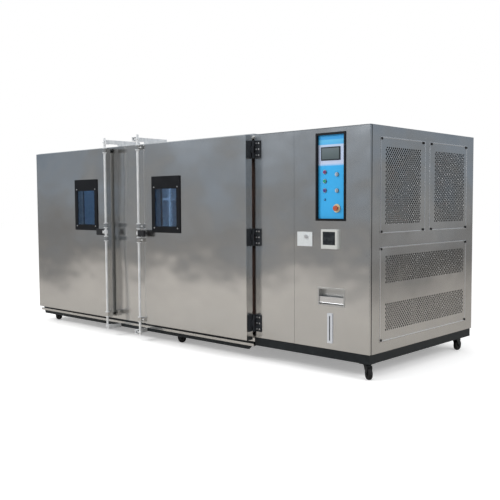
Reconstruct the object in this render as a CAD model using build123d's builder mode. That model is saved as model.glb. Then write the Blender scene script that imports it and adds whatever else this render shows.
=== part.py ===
from build123d import *
import math
import os

"""Environmental test chamber: a two-door insulated chamber joined to its machine unit.

Millimetres, +Z up. The origin is on the floor, under the middle of the whole object.
Distances "across" run left from the machine unit's right side, distances "deep" run back
from the front plane that the doors close on, and heights are from the floor.
"""

# Whole machine
BODY_WIDTH = 4760
BODY_DEPTH = 1720
UNIT_WIDTH = 1215
UNIT_ROOF = 2000
CHAMBER_ROOF = 2008
UNIT_FLOOR = 203
CHAMBER_FLOOR = 163
WALL = 100

# Chamber doors
DOOR_GAP = 22
DOOR_THICK = 78
DOOR_LOW = 184
DOOR_HIGH = 1992
RIGHT_EDGE = 7
LEFT_EDGE = 115
CENTRE_COLUMN = 654
RIGHT_DOOR_SHARE = 0.51
BOTH_DOORS_WIDE = BODY_WIDTH - UNIT_WIDTH - RIGHT_EDGE - CENTRE_COLUMN - LEFT_EDGE
RIGHT_DOOR_WIDE = round(BOTH_DOORS_WIDE * RIGHT_DOOR_SHARE)
RIGHT_DOOR_ACROSS = (UNIT_WIDTH + RIGHT_EDGE, UNIT_WIDTH + RIGHT_EDGE + RIGHT_DOOR_WIDE)
LEFT_DOOR_ACROSS = (RIGHT_DOOR_ACROSS[1] + CENTRE_COLUMN, BODY_WIDTH - LEFT_EDGE)
DOOR_LAP = 55
WINDOW_TO_LATCH = 343
WINDOW_FRAME_WIDE = 425
WINDOW_FRAME_Z = (1115, 1668)
GLASS_WIDE = 330
GLASS_Z = (1169, 1553)
FRAME_PROUD = 8
PANE = 8

# Hinges
HINGE_HEIGHTS = (335, 1098, 1868)
HINGE_TALL = 150
HINGE_OUT = 15
HINGE_AHEAD = 25
KNUCKLE_R = 9
PIN_R = 5
LEAF_PLATE = 6
LEAF_WIDE = 66

# Lock rods
ROD_R = 12
ROD_OUT = 50
ROD_AHEAD = 30
ROD_Z = (66, 2092)
GUIDE_HEIGHTS = (226, 1034, 1174, 1962)
GUIDE_TALL = 40
LEVER_HEIGHT = 1104
CAM_HEIGHTS = (96, 2048)
CAM_TALL = 14
CAM_REACH = 45
JAW_GAP = 8
JAW_THICK = 6
GRIP_LONG = 100
GRIP_TALL = 68
GRIP_THICK = 28
GRIP_CENTRE_AHEAD = 55

# Casters
CASTER_TALL = 130
WHEEL_R = 50
WHEEL_WIDE = 32
CASTER_TRAIL = 32
CASTER_PLATE = 6
PLATE_HALF = 48
KING_PIN_R = 7
AXLE_R = 6
CHEEK_THICK = 5

# Machine unit
SKIN = 3
SHEET_DOOR = 22
SERVICE_DOOR_WIDE = 757
KNOB_PROUD = 14
CONTROL_ACROSS = (229, 529)
CONTROL_Z = (1251, 1960)
CONTROL_BORDER = 18
CONTROL_PROUD = 6
FASCIA_DEEP = 14
FASCIA_THICK = 3

# Clearances
RUNNING = 0.08
SEAM = 2
PANEL_PLAY = 1

FRONT_REACH = DOOR_GAP + DOOR_THICK + GRIP_CENTRE_AHEAD + GRIP_THICK / 2
RIGHT_X = BODY_WIDTH / 2 - KNOB_PROUD / 2
FRONT_Y = (FRONT_REACH - BODY_DEPTH) / 2

os.makedirs("parts", exist_ok=True)


def at_x(across):
    """X of a distance left of the machine unit's right side."""
    return RIGHT_X - across


def at_y(deep):
    """Y of a distance back from the front plane."""
    return FRONT_Y + deep


def block(across, deep, height, mode=Mode.ADD):
    """Add or cut an upright block between two values across, deep and in height."""
    with Locations((at_x(sum(across) / 2), at_y(sum(deep) / 2), sum(height) / 2)):
        Box(abs(across[1] - across[0]), abs(deep[1] - deep[0]), abs(height[1] - height[0]), mode=mode)


def ring_strips(across, deep, height, width):
    """Four separate strips round a rectangle, the upright ones between the level ones."""
    low, high = height
    return [bar(across, deep, (low, low + width)),
            bar(across, deep, (high - width, high)),
            bar((across[0], across[0] + width), deep, (low + width, high - width)),
            bar((across[1] - width, across[1]), deep, (low + width, high - width))]


def upright(across, deep, low, high, radius, mode=Mode.ADD):
    """An upright round bar."""
    with Locations((at_x(across), at_y(deep), (low + high) / 2)):
        Cylinder(radius, high - low, mode=mode)


def front_disc(across, height, deep, radius, mode=Mode.ADD):
    """A round bar that points at the viewer, between two depths."""
    with Locations((at_x(across), at_y(sum(deep) / 2), height)):
        Cylinder(radius, deep[1] - deep[0], rotation=(90, 0, 0), mode=mode)


def side_disc(deep, height, across, radius, mode=Mode.ADD):
    """A round bar that points left, between two distances across."""
    with Locations((at_x(sum(across) / 2), at_y(deep), height)):
        Cylinder(radius, across[1] - across[0], rotation=(0, 90, 0), mode=mode)


def bar(across, deep, height):
    """One square bar as a solid of its own."""
    with BuildPart() as piece:
        block(across, deep, height)
    return piece.part


def round_bar(across, deep, low, high, radius):
    """One upright round bar as a solid of its own."""
    with BuildPart() as piece:
        upright(across, deep, low, high, radius)
    return piece.part


def save_group(pieces, name):
    """Write pieces that touch but stay separate solids as one sub-part."""
    return save(Compound(children=pieces), name)


def save(part, name):
    """Label a finished piece and write its STEP file."""
    part.label = name
    export_step(part, f"parts/{name}.step")
    return part


# Casters: a plate and king pin stay on the frame, the fork swivels, the wheel rolls in it.

def caster_plate(across, deep):
    """Top plate with its king pin, bolted under a frame member."""
    with BuildPart() as plate:
        block((across - PLATE_HALF, across + PLATE_HALF), (deep - PLATE_HALF, deep + PLATE_HALF),
              (CASTER_TALL - CASTER_PLATE, CASTER_TALL))
        upright(across, deep, CASTER_TALL - 22, CASTER_TALL - CASTER_PLATE, KING_PIN_R)
    return plate.part


def wheel_centre(across, deep, heading):
    """Where the wheel stands when the fork trails towards the heading, in degrees from +X."""
    turn = math.radians(heading)
    return (at_x(across) + CASTER_TRAIL * math.cos(turn), at_y(deep) + CASTER_TRAIL * math.sin(turn))


def fork_solids(across, deep, heading):
    """Swivel head, two cheeks and the axle bolt of one fork."""
    head_top = CASTER_TALL - CASTER_PLATE - 0.5
    head = Plane((at_x(across), at_y(deep), 0), x_dir=Vector(1, 0, 0).rotate(Axis.Z, heading))
    upright(across, deep, head_top - 12, head_top, 33)
    with BuildSketch(head.offset(head_top - 20)) as crown:
        with Locations((CASTER_TRAIL / 2, 0)):
            RectangleRounded(74, 48, 8)
    extrude(crown.sketch, amount=8)
    cheek_gap = WHEEL_WIDE + 4
    axle_z = WHEEL_R
    for side in (-1, 1):
        face = Plane(head.origin + head.y_dir * side * cheek_gap / 2, x_dir=head.x_dir, z_dir=-head.y_dir)
        with BuildSketch(face) as cheek_shape:
            with BuildLine():
                Polyline((-20, head_top - 20), (52, head_top - 20), (CASTER_TRAIL + 15, axle_z),
                         (CASTER_TRAIL, axle_z - 15), (CASTER_TRAIL - 15, axle_z), close=True)
            make_face()
            with Locations((CASTER_TRAIL, axle_z)):
                Circle(15)
        extrude(cheek_shape.sketch, amount=-side * CHEEK_THICK)
    axle_half = cheek_gap / 2 + CHEEK_THICK
    axle_middle = head.origin + head.x_dir * CASTER_TRAIL + Vector(0, 0, axle_z)
    with Locations(Plane(axle_middle, x_dir=head.x_dir, z_dir=head.y_dir)):
        Cylinder(AXLE_R, 2 * axle_half + 8)
    for side in (-1, 1):
        bolt_head = axle_middle + head.y_dir * side * (axle_half + 2)
        with Locations(Plane(bolt_head, x_dir=head.x_dir, z_dir=head.y_dir)):
            Cylinder(10, 4)


def caster_fork(name, across, deep, heading):
    """One swivelling fork, bored for the king pin."""
    with BuildPart() as fork:
        fork_solids(across, deep, heading)
        upright(across, deep, CASTER_TALL - 40, CASTER_TALL, KING_PIN_R + RUNNING, mode=Mode.SUBTRACT)
    return save(fork.part, name)


def caster_wheel(name, across, deep, heading):
    """Moulded wheel with a rounded tread and a raised hub."""
    wheel_x, wheel_y = wheel_centre(across, deep, heading)
    along = Vector(1, 0, 0).rotate(Axis.Z, heading)
    with BuildPart() as wheel:
        with BuildSketch(Plane((wheel_x, wheel_y, WHEEL_R), x_dir=along, z_dir=(0, 0, -1))):
            with BuildLine():
                half = WHEEL_WIDE / 2
                bore = AXLE_R + RUNNING
                tread = WHEEL_R - 4
                rim = WHEEL_R - 14
                hub = 15
                web = half - 5
                Polyline((bore, -half - 1), (hub, -half - 1), (hub + 2, -web), (rim - 3, -web),
                         (rim, -half), (tread, -half))
                ThreePointArc((tread, -half), (WHEEL_R, 0), (tread, half))
                Polyline((tread, half), (rim, half), (rim - 3, web), (hub + 2, web), (hub, half + 1),
                         (bore, half + 1), (bore, -half - 1))
            make_face()
        revolve(axis=Axis((wheel_x, wheel_y, WHEEL_R), along.cross(Vector(0, 0, 1))))
    return save(wheel.part, name)


LEFT_CASTER = BODY_WIDTH - 225
MIDDLE_CASTER = RIGHT_DOOR_ACROSS[1] - 346
CHAMBER_CASTERS_REAR = BODY_DEPTH - 120
FRONT_CASTERS = {"left": (LEFT_CASTER, 112, 180), "middle": (MIDDLE_CASTER, 112, 180),
                 "right": (62, 62, -35)}
REAR_CASTERS = {"left": (LEFT_CASTER, CHAMBER_CASTERS_REAR, 90),
                "middle": (MIDDLE_CASTER, CHAMBER_CASTERS_REAR, 90),
                "right": (75, BODY_DEPTH - 160, 90)}


def rigid_caster(caster):
    """A rear caster whose fork is bolted on and doesn't swivel."""
    across, deep, heading = REAR_CASTERS[caster]
    with BuildPart() as fork:
        fork_solids(across, deep, heading)
        block((across - PLATE_HALF, across + PLATE_HALF), (deep - PLATE_HALF, deep + PLATE_HALF),
              (CASTER_TALL - CASTER_PLATE - 0.5, CASTER_TALL))
    return fork.part


# Base frames

BEAM_Z = (83, 118)
STRIP_Z = (118, 141)
CROSS_MEMBERS = (UNIT_WIDTH + 95, MIDDLE_CASTER, LEFT_DOOR_ACROSS[0] + 112, LEFT_CASTER)
RAIL_ACROSS = (UNIT_WIDTH + 25, BODY_WIDTH - 30)
RAIL_DEEP = (12, 60)
BEAM_DEEP = (5, 25)
CROSS_HALF = 50


def chamber_beam(deep):
    """Long beam under the chamber, its ends cut on a slant."""
    with BuildPart() as beam:
        with BuildSketch(Plane((0, at_y(deep[1]), 0), x_dir=(1, 0, 0), z_dir=(0, -1, 0))) as outline:
            with BuildLine():
                Polyline((at_x(UNIT_WIDTH + 55), BEAM_Z[1]), (at_x(UNIT_WIDTH + 85), BEAM_Z[0]),
                         (at_x(BODY_WIDTH - 70), BEAM_Z[0]), (at_x(BODY_WIDTH - 55), BEAM_Z[1]), close=True)
            make_face()
        extrude(outline.sketch, amount=deep[1] - deep[0])
    return beam.part


def from_rear(deep):
    """The same two depths counted from the rear plane."""
    return (BODY_DEPTH - deep[1], BODY_DEPTH - deep[0])


chamber_bars = []
for beam_deep, rail_deep in ((BEAM_DEEP, RAIL_DEEP), (from_rear(BEAM_DEEP), from_rear(RAIL_DEEP))):
    chamber_bars.append(chamber_beam(beam_deep))
    chamber_bars.append(bar(RAIL_ACROSS, rail_deep, (STRIP_Z[0], CHAMBER_FLOOR)))
for across in CROSS_MEMBERS:
    chamber_bars.append(bar((across - CROSS_HALF, across + CROSS_HALF),
                            (RAIL_DEEP[1], BODY_DEPTH - RAIL_DEEP[1]), (CASTER_TALL, CHAMBER_FLOOR)))
for caster in ("left", "middle"):
    chamber_bars.append(caster_plate(*FRONT_CASTERS[caster][:2]))
    chamber_bars.append(rigid_caster(caster))
save_group(chamber_bars, "chamber_base_frame")

UNIT_BASE_Z = (CASTER_TALL, UNIT_FLOOR)
UNIT_BASE_REAR = BODY_DEPTH - 22
UNIT_TUBE = 75
MIDDLE_TUBE = (560, 620)
TRAY = 8

base_right = (SKIN, SKIN + UNIT_TUBE)
base_left = (UNIT_WIDTH - SKIN - UNIT_TUBE, UNIT_WIDTH - SKIN)
base_front = (SKIN, SKIN + UNIT_TUBE)
base_rear = (UNIT_BASE_REAR - UNIT_TUBE, UNIT_BASE_REAR)
between_tubes = (base_front[1], base_rear[0])
unit_base_bars = [bar((base_right[0], base_left[1]), base_front, UNIT_BASE_Z),
                  bar((base_right[0], base_left[1]), base_rear, UNIT_BASE_Z)]
for across in (base_right, base_left, MIDDLE_TUBE):
    unit_base_bars.append(bar(across, between_tubes, UNIT_BASE_Z))
for across in ((base_right[1], MIDDLE_TUBE[0]), (MIDDLE_TUBE[1], base_left[0])):
    unit_base_bars.append(bar(across, between_tubes, (UNIT_FLOOR - TRAY, UNIT_FLOOR)))
unit_base_bars.append(caster_plate(*FRONT_CASTERS["right"][:2]))
unit_base_bars.append(rigid_caster("right"))
save_group(unit_base_bars, "unit_base_frame")

for caster, (across, deep, heading) in FRONT_CASTERS.items():
    caster_fork(f"front_{caster}_caster_fork", across, deep, heading)
    caster_wheel(f"front_{caster}_caster_wheel", across, deep, heading)
for caster, (across, deep, heading) in REAR_CASTERS.items():
    caster_wheel(f"rear_{caster}_caster_wheel", across, deep, heading)

# Chamber shell: insulated panels with steel faces

INNER_LOW = CHAMBER_FLOOR + WALL
INNER_HIGH = CHAMBER_ROOF - WALL
RIGHT_WALL = (UNIT_WIDTH, UNIT_WIDTH + WALL)
LEFT_WALL = (BODY_WIDTH - WALL, BODY_WIDTH)
RIGHT_DOORWAY = (RIGHT_WALL[1], RIGHT_DOOR_ACROSS[1] - DOOR_LAP)
LEFT_DOORWAY = (LEFT_DOOR_ACROSS[0] + DOOR_LAP, LEFT_DOOR_ACROSS[1] - DOOR_LAP)
POST_SEAM = RIGHT_DOOR_ACROSS[1] + 449

with BuildPart() as chamber_floor:
    block((UNIT_WIDTH, BODY_WIDTH), (0, BODY_DEPTH), (CHAMBER_FLOOR, INNER_LOW))
    block((UNIT_WIDTH + 13, BODY_WIDTH), (-2, RAIL_DEEP[0]), STRIP_Z)
save(chamber_floor.part, "chamber_floor")

with BuildPart() as chamber_roof:
    block((UNIT_WIDTH, BODY_WIDTH), (0, BODY_DEPTH), (INNER_HIGH, CHAMBER_ROOF))
    top_edges = chamber_roof.edges().group_by(Axis.Z)[-1]
    chamfer(top_edges, length=2)
save(chamber_roof.part, "chamber_roof")

with BuildPart() as chamber_rear_wall:
    block((UNIT_WIDTH, BODY_WIDTH), (BODY_DEPTH - WALL, BODY_DEPTH), (INNER_LOW, INNER_HIGH))
save(chamber_rear_wall.part, "chamber_rear_wall")

with BuildPart() as chamber_left_wall:
    block(LEFT_WALL, (WALL, BODY_DEPTH - WALL), (INNER_LOW, INNER_HIGH))
save(chamber_left_wall.part, "chamber_left_wall")

with BuildPart() as chamber_right_wall:
    block(RIGHT_WALL, (WALL, BODY_DEPTH - WALL), (INNER_LOW, INNER_HIGH))
save(chamber_right_wall.part, "chamber_right_wall")

with BuildPart() as chamber_front_posts:
    for post in (RIGHT_WALL, (RIGHT_DOORWAY[1], POST_SEAM - SEAM / 2),
                 (POST_SEAM + SEAM / 2, LEFT_DOORWAY[0]), (LEFT_DOORWAY[1], BODY_WIDTH)):
        block(post, (0, WALL), (INNER_LOW, INNER_HIGH))
save(chamber_front_posts.part, "chamber_front_posts")

GASKET_WIDE = 30
GASKET_OUT = 38

gasket_strips = []
for doorway in (RIGHT_DOORWAY, LEFT_DOORWAY):
    gasket_strips += ring_strips((doorway[0] - GASKET_OUT, doorway[1] + GASKET_OUT), (0.3 - DOOR_GAP, 0),
                                 (INNER_LOW - GASKET_OUT, INNER_HIGH + GASKET_OUT), GASKET_WIDE)
save_group(gasket_strips, "door_gaskets")

# Inside the chamber: air baffle, fan, coil with heaters, and sample racks

BAFFLE_DEEP = (BODY_DEPTH - 420, BODY_DEPTH - 416)
FAN_ACROSS = LEFT_WALL[0] - 1680
FAN_HEIGHT = 1450
FAN_R = 190
HUB_R = 48
FAN_HUB = (BAFFLE_DEEP[0] - 4, BAFFLE_DEEP[0] + 46)
FAN_MOTOR = (FAN_HUB[1] + 56, BODY_DEPTH - WALL - 60)
MOTOR_FOOT_HALF = 60
BLADE_PITCH = 32
BLADE_WIDE = 90
BLADE_THICK = 4
AIR_SLOT = (220, 16)
AIR_SLOT_HEIGHTS = (330, 370, 410)
AIR_SLOT_COLUMNS = 10

with BuildPart() as air_baffle:
    through = (BAFFLE_DEEP[0] - 10, BAFFLE_DEEP[1] + 6)
    block((RIGHT_WALL[1], LEFT_WALL[0]), BAFFLE_DEEP, (INNER_LOW, INNER_HIGH))
    front_disc(FAN_ACROSS, FAN_HEIGHT, through, FAN_R + 12, mode=Mode.SUBTRACT)
    slot_pitch = (LEFT_WALL[0] - RIGHT_WALL[1] - 195) / AIR_SLOT_COLUMNS
    for column in range(AIR_SLOT_COLUMNS):
        slot_across = RIGHT_WALL[1] + 180 + column * slot_pitch
        for slot_z in AIR_SLOT_HEIGHTS:
            block((slot_across, slot_across + AIR_SLOT[0]), through, (slot_z, slot_z + AIR_SLOT[1]),
                  mode=Mode.SUBTRACT)
save(air_baffle.part, "air_baffle")

with BuildPart() as circulation_fan:
    front_disc(FAN_ACROSS, FAN_HEIGHT, FAN_HUB, HUB_R)
    blade_long = FAN_R - HUB_R + 4
    fan_axis = Plane((at_x(FAN_ACROSS), at_y(sum(FAN_HUB) / 2), FAN_HEIGHT),
                     x_dir=(1, 0, 0), z_dir=(0, -1, 0))
    with Locations(fan_axis):
        with PolarLocations(0, 5):
            with Locations(Location((HUB_R - 6 + blade_long / 2, 0, 0), (BLADE_PITCH, 0, 0))):
                Box(blade_long, BLADE_WIDE, BLADE_THICK)
    front_disc(FAN_ACROSS, FAN_HEIGHT, (FAN_HUB[1], FAN_MOTOR[0]), 10)
save(circulation_fan.part, "circulation_fan")

COIL_ACROSS = (LEFT_WALL[0] - 1300, LEFT_WALL[0] - 280)
COIL_HEIGHTS = (660, 1330)
TUBE = 30
FIN_PITCH = 110
FIN_THICK = 60
COIL_DEEP = (FAN_MOTOR[0] + 18, FAN_MOTOR[1])
TUBE_DEEP = (COIL_DEEP[0] + 50, COIL_DEEP[0] + 90)

with BuildPart() as air_handler:
    front_disc(FAN_ACROSS, FAN_HEIGHT, FAN_MOTOR, 70)
    block((FAN_ACROSS - MOTOR_FOOT_HALF, FAN_ACROSS + MOTOR_FOOT_HALF), (FAN_MOTOR[1], BODY_DEPTH - WALL),
          (FAN_HEIGHT - MOTOR_FOOT_HALF, FAN_HEIGHT + MOTOR_FOOT_HALF))
    for fin in range(9):
        fin_across = COIL_ACROSS[0] + 40 + fin * FIN_PITCH
        block((fin_across, fin_across + FIN_THICK), COIL_DEEP, (COIL_HEIGHTS[0] + TUBE, COIL_HEIGHTS[1]))
    for tube_z in COIL_HEIGHTS:
        block(COIL_ACROSS, TUBE_DEEP, (tube_z, tube_z + TUBE))
    for bracket in (COIL_ACROSS[0] + 60, COIL_ACROSS[1] - 80):
        block((bracket, bracket + TUBE), (TUBE_DEEP[1], BODY_DEPTH - WALL),
              (COIL_HEIGHTS[1], COIL_HEIGHTS[1] + TUBE))
save(air_handler.part, "air_handler")

RACK_DEEP = (BAFFLE_DEEP[0] - 320, BAFFLE_DEEP[0] - 60)
RACK_WIDE = 900
RACK_TOP = 1700
RACK_POST = 30
DECK_THICK = 24
DECKS = (560, 1000, 1440)

rack_pieces = []
for start in (RIGHT_WALL[1] + 245, LEFT_WALL[0] - 280 - RACK_WIDE):
    rack = (start, start + RACK_WIDE)
    for post in ((rack[0], rack[0] + RACK_POST), (rack[1] - RACK_POST, rack[1])):
        for deep in ((RACK_DEEP[0], RACK_DEEP[0] + RACK_POST), (RACK_DEEP[1] - RACK_POST, RACK_DEEP[1])):
            rack_pieces.append(bar(post, deep, (INNER_LOW, RACK_TOP)))
    for deck in DECKS:
        rack_pieces.append(bar((rack[0] + RACK_POST, rack[1] - RACK_POST), RACK_DEEP,
                               (deck, deck + DECK_THICK)))
save_group(rack_pieces, "sample_racks")

# Door hinges: frame leaves with their pins stay, door leaves swing

KNUCKLE_MIDDLE = 60
KNUCKLE_PLAY = 0.5


class DoorSide:
    """Places of one chamber door, counted from its hinge edge towards its latch edge."""

    def __init__(self, name, hinge_across, latch_across):
        self.name = name
        self.hinge = hinge_across
        self.latch = latch_across
        self.way = 1 if latch_across > hinge_across else -1

    def across(self, inward):
        return self.hinge + self.way * inward

    def span(self, near, far):
        return tuple(sorted((self.across(near), self.across(far))))

    def wide(self):
        return abs(self.latch - self.hinge)


RIGHT_DOOR = DoorSide("right", *RIGHT_DOOR_ACROSS)
LEFT_DOOR = DoorSide("left", *reversed(LEFT_DOOR_ACROSS))
DOORS = (RIGHT_DOOR, LEFT_DOOR)

with BuildPart() as hinge_frame_leaves:
    for door in DOORS:
        axis_across = door.across(-HINGE_OUT)
        for middle in HINGE_HEIGHTS:
            low = middle - HINGE_TALL / 2
            high = middle + HINGE_TALL / 2
            with BuildPart(mode=Mode.PRIVATE) as leaf:
                block(door.span(-HINGE_OUT - 7 - LEAF_WIDE, -HINGE_OUT - 7), (-8, 0), (low, high))
                for part_z in ((low, middle - KNUCKLE_MIDDLE / 2), (middle + KNUCKLE_MIDDLE / 2, high)):
                    block(door.span(-HINGE_OUT - KNUCKLE_R, -HINGE_OUT + 3), (-HINGE_AHEAD, 0), part_z)
                    upright(axis_across, -HINGE_AHEAD, *part_z, KNUCKLE_R)
                upright(axis_across, -HINGE_AHEAD, low, high, PIN_R, mode=Mode.SUBTRACT)
            add(leaf.part)
            upright(axis_across, -HINGE_AHEAD, low - 4, high + 4, PIN_R)
save(hinge_frame_leaves.part, "hinge_frame_leaves")

DOOR_DEEP = (-DOOR_GAP - DOOR_THICK, -DOOR_GAP)
ROD_DEEP = DOOR_DEEP[0] - ROD_AHEAD
TANG_LONG = 90
TANG_DEEP = (ROD_DEEP - 30, ROD_DEEP - 12)
TANG_Z = (LEVER_HEIGHT - 14, LEVER_HEIGHT + 14)


# Doors: leaf with rod guides, window, hinge leaves, lock rod and lever grip

def door_leaf(door):
    """Insulated door leaf with its window hole, inner trim and four rod guides."""
    wide = door.wide()
    window_near = wide - WINDOW_TO_LATCH - GLASS_WIDE / 2
    window = (window_near, window_near + GLASS_WIDE)
    with BuildPart() as leaf:
        block(door.span(0, wide), DOOR_DEEP, (DOOR_LOW, DOOR_HIGH))
        chamfer(leaf.edges().group_by(Axis.Y)[0], length=3)
        block(door.span(*window), (DOOR_DEEP[0], DOOR_DEEP[1]), GLASS_Z, mode=Mode.SUBTRACT)
        for height in GUIDE_HEIGHTS:
            low = height - GUIDE_TALL / 2
            high = height + GUIDE_TALL / 2
            with BuildPart(mode=Mode.PRIVATE) as guide:
                block(door.span(wide, wide + 14), (DOOR_DEEP[0] + 5, DOOR_DEEP[1] - 8), (low, high))
                block(door.span(wide, wide + ROD_OUT), (ROD_DEEP + 10, DOOR_DEEP[0] + 14), (low, high))
                upright(door.across(wide + ROD_OUT), ROD_DEEP, low, high, ROD_R + 9)
                upright(door.across(wide + ROD_OUT), ROD_DEEP, low, high, ROD_R + RUNNING,
                        mode=Mode.SUBTRACT)
            add(guide.part)
    save(leaf.part, f"{door.name}_door_leaf")
    return window


def door_window(door, window):
    """Black front frame with a rounded glass opening, and the stack of panes behind it."""
    middle = (window[0] + window[1]) / 2
    with BuildPart() as frame:
        block(door.span(middle - WINDOW_FRAME_WIDE / 2, middle + WINDOW_FRAME_WIDE / 2),
              (DOOR_DEEP[0] - FRAME_PROUD, DOOR_DEEP[0]), WINDOW_FRAME_Z)
        fillet(frame.edges().filter_by(Axis.Y), radius=6)
        chamfer(frame.faces().sort_by(Axis.Y)[0].edges(), length=2)
        block(door.span(window[0] + 6, window[1] - 6), (DOOR_DEEP[0] - FRAME_PROUD, DOOR_DEEP[0]),
              (GLASS_Z[0] + 6, GLASS_Z[1] - 6), mode=Mode.SUBTRACT)
        inner_trim = (DOOR_DEEP[1], DOOR_DEEP[1] + 4)
        trim_z = (GLASS_Z[0] - 24, GLASS_Z[1] + 24)
        block(door.span(window[0] - 24, window[1] + 24), inner_trim, trim_z)
        block(door.span(window[0] + 6, window[1] - 6), inner_trim, (GLASS_Z[0] + 6, GLASS_Z[1] - 6),
              mode=Mode.SUBTRACT)
    save(frame.part, f"{door.name}_window_frame")
    with BuildPart() as glass:
        pane_step = (DOOR_THICK - PANE) / 2
        for pane in range(3):
            pane_front = DOOR_DEEP[0] + pane * pane_step
            block(door.span(*window), (pane_front, pane_front + PANE), GLASS_Z)
    save(glass.part, f"{door.name}_window_glass")


def door_hinge_leaves(door):
    """Plates on the door's side face with the middle knuckles."""
    axis_across = door.across(-HINGE_OUT)
    with BuildPart() as leaves:
        for middle in HINGE_HEIGHTS:
            knuckle_half = KNUCKLE_MIDDLE / 2 - KNUCKLE_PLAY
            knuckle = (middle - knuckle_half, middle + knuckle_half)
            with BuildPart(mode=Mode.PRIVATE) as leaf:
                block(door.span(-LEAF_PLATE, 0), (DOOR_DEEP[0] + 12, -HINGE_AHEAD - KNUCKLE_R),
                      (middle - HINGE_TALL / 2, middle + HINGE_TALL / 2))
                block(door.span(-HINGE_OUT, 0), (-HINGE_AHEAD - 25, -HINGE_AHEAD), knuckle)
                upright(axis_across, -HINGE_AHEAD, *knuckle, KNUCKLE_R)
                upright(axis_across, -HINGE_AHEAD, *knuckle, PIN_R + RUNNING, mode=Mode.SUBTRACT)
            add(leaf.part)
    save(leaves.part, f"{door.name}_hinge_leaves")


def lock_cam(door, rod_at, height):
    """Cam plate on the rod: a round hub with an arm that turns into the keeper's jaws."""
    with BuildPart() as cam:
        upright(door.across(rod_at), ROD_DEEP, *height, 20)
        block(door.span(rod_at, rod_at + CAM_REACH), (ROD_DEEP - 9, ROD_DEEP + 9), height)
    return cam.part


def lever_hub(door, rod_at, height):
    """Hub on the rod with the flat tang that the lever grip is pushed over."""
    with BuildPart() as hub:
        upright(door.across(rod_at), ROD_DEEP, *height, 20)
        block(door.span(rod_at - TANG_LONG, rod_at), TANG_DEEP, TANG_Z)
    return hub.part


def lock_rod(door):
    """Full-height lock bar as stacked round pieces: bar lengths, two cams and the lever hub."""
    rod_at = door.wide() + ROD_OUT
    across = door.across(rod_at)
    hub = (LEVER_HEIGHT - 20, LEVER_HEIGHT + 20)
    cams = [(height - CAM_TALL / 2, height + CAM_TALL / 2) for height in CAM_HEIGHTS]
    lengths = ((ROD_Z[0], cams[0][0]), (cams[0][1], hub[0]), (hub[1], cams[1][0]), (cams[1][1], ROD_Z[1]))
    pieces = [round_bar(across, ROD_DEEP, *length, ROD_R) for length in lengths]
    pieces += [lock_cam(door, rod_at, cam) for cam in cams]
    pieces.append(lever_hub(door, rod_at, hub))
    save_group(pieces, f"{door.name}_lock_rod")


def lever_grip(door):
    """Moulded paddle pushed over the steel tang of the lock rod."""
    rod_at = door.wide() + ROD_OUT
    middle = DOOR_DEEP[0] - GRIP_CENTRE_AHEAD
    low = LEVER_HEIGHT - GRIP_TALL / 2
    with BuildPart() as grip:
        block(door.span(rod_at - 24 - GRIP_LONG, rod_at - 24),
              (middle - GRIP_THICK / 2, middle + GRIP_THICK / 2), (low, low + GRIP_TALL))
        fillet(grip.edges().filter_by(Axis.Y), radius=12)
        fillet(grip.faces().sort_by(Axis.Y)[0].edges(), radius=7)
        block(door.span(rod_at - TANG_LONG, rod_at), TANG_DEEP, TANG_Z, mode=Mode.SUBTRACT)
    save(grip.part, f"{door.name}_lever_grip")


for door in DOORS:
    door_window(door, door_leaf(door))
    door_hinge_leaves(door)
    lock_rod(door)
    lever_grip(door)

# Keepers: open jaws over and under each cam, on a bar along the roof or a bracket on the base

ROOF_BAR_BACK = 300
KEEPER_PLATE = (50, 58)
KEEPER_FRONT = ROD_DEEP - 26


def keeper_jaws(door, rod_at, cam_z, root_deep):
    """Side plate from the body to the rod with a jaw plate over and under the cam."""
    jaw_out = CAM_TALL / 2 + JAW_GAP
    low = cam_z - jaw_out - JAW_THICK
    high = cam_z + jaw_out + JAW_THICK
    pieces = [bar(door.span(rod_at + KEEPER_PLATE[0], rod_at + KEEPER_PLATE[1]), (KEEPER_FRONT, root_deep),
                  (low, high))]
    for jaw in ((low, low + JAW_THICK), (high - JAW_THICK, high)):
        pieces.append(bar(door.span(rod_at + 24, rod_at + KEEPER_PLATE[0]),
                          (KEEPER_FRONT, ROD_DEEP + 34), jaw))
    return pieces


def roof_bar(door, rod_at):
    """Bar along the roof that carries the upper jaws, with a bolted foot."""
    plate_high = CAM_HEIGHTS[1] + CAM_TALL / 2 + JAW_GAP + JAW_THICK
    foot_top = CHAMBER_ROOF + 6
    pieces = [bar(door.span(rod_at + KEEPER_PLATE[0], rod_at + KEEPER_PLATE[1]), (2, ROOF_BAR_BACK),
                  (CHAMBER_ROOF, plate_high)),
              bar(door.span(rod_at + KEEPER_PLATE[1], rod_at + 92), (20, ROOF_BAR_BACK - 8),
                  (CHAMBER_ROOF, foot_top))]
    for bolt_deep in (60, 155, 250):
        pieces.append(round_bar(door.across(rod_at + 76), bolt_deep, foot_top, foot_top + 8, 9))
    return pieces


keeper_pieces = []
for door in DOORS:
    rod_at = door.wide() + ROD_OUT
    keeper_pieces += keeper_jaws(door, rod_at, CAM_HEIGHTS[1], 2)
    keeper_pieces += roof_bar(door, rod_at)
    keeper_pieces += keeper_jaws(door, rod_at, CAM_HEIGHTS[0], 5)
save_group(keeper_pieces, "lock_keepers")

# Machine unit: bars, cover plates, panels with slots, and what stands inside

LOWER_PANEL = (138, BODY_DEPTH - 132)
LOWER_PANEL_Z = (288, 1046)
UNIT_MIDDLE = sum(LOWER_PANEL) / 2
UPPER_PANELS = ((LOWER_PANEL[0] + 1, UNIT_MIDDLE - 30), (UNIT_MIDDLE + 38, LOWER_PANEL[1] - 1))
UPPER_PANEL_Z = (1151, 1914)
SIDE_START = SHEET_DOOR + 5
ROOF_SHEET = 4
UNIT_TOP = UNIT_ROOF - ROOF_SHEET
PIVOT_IN = 11
PIVOT_R = 4

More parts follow.
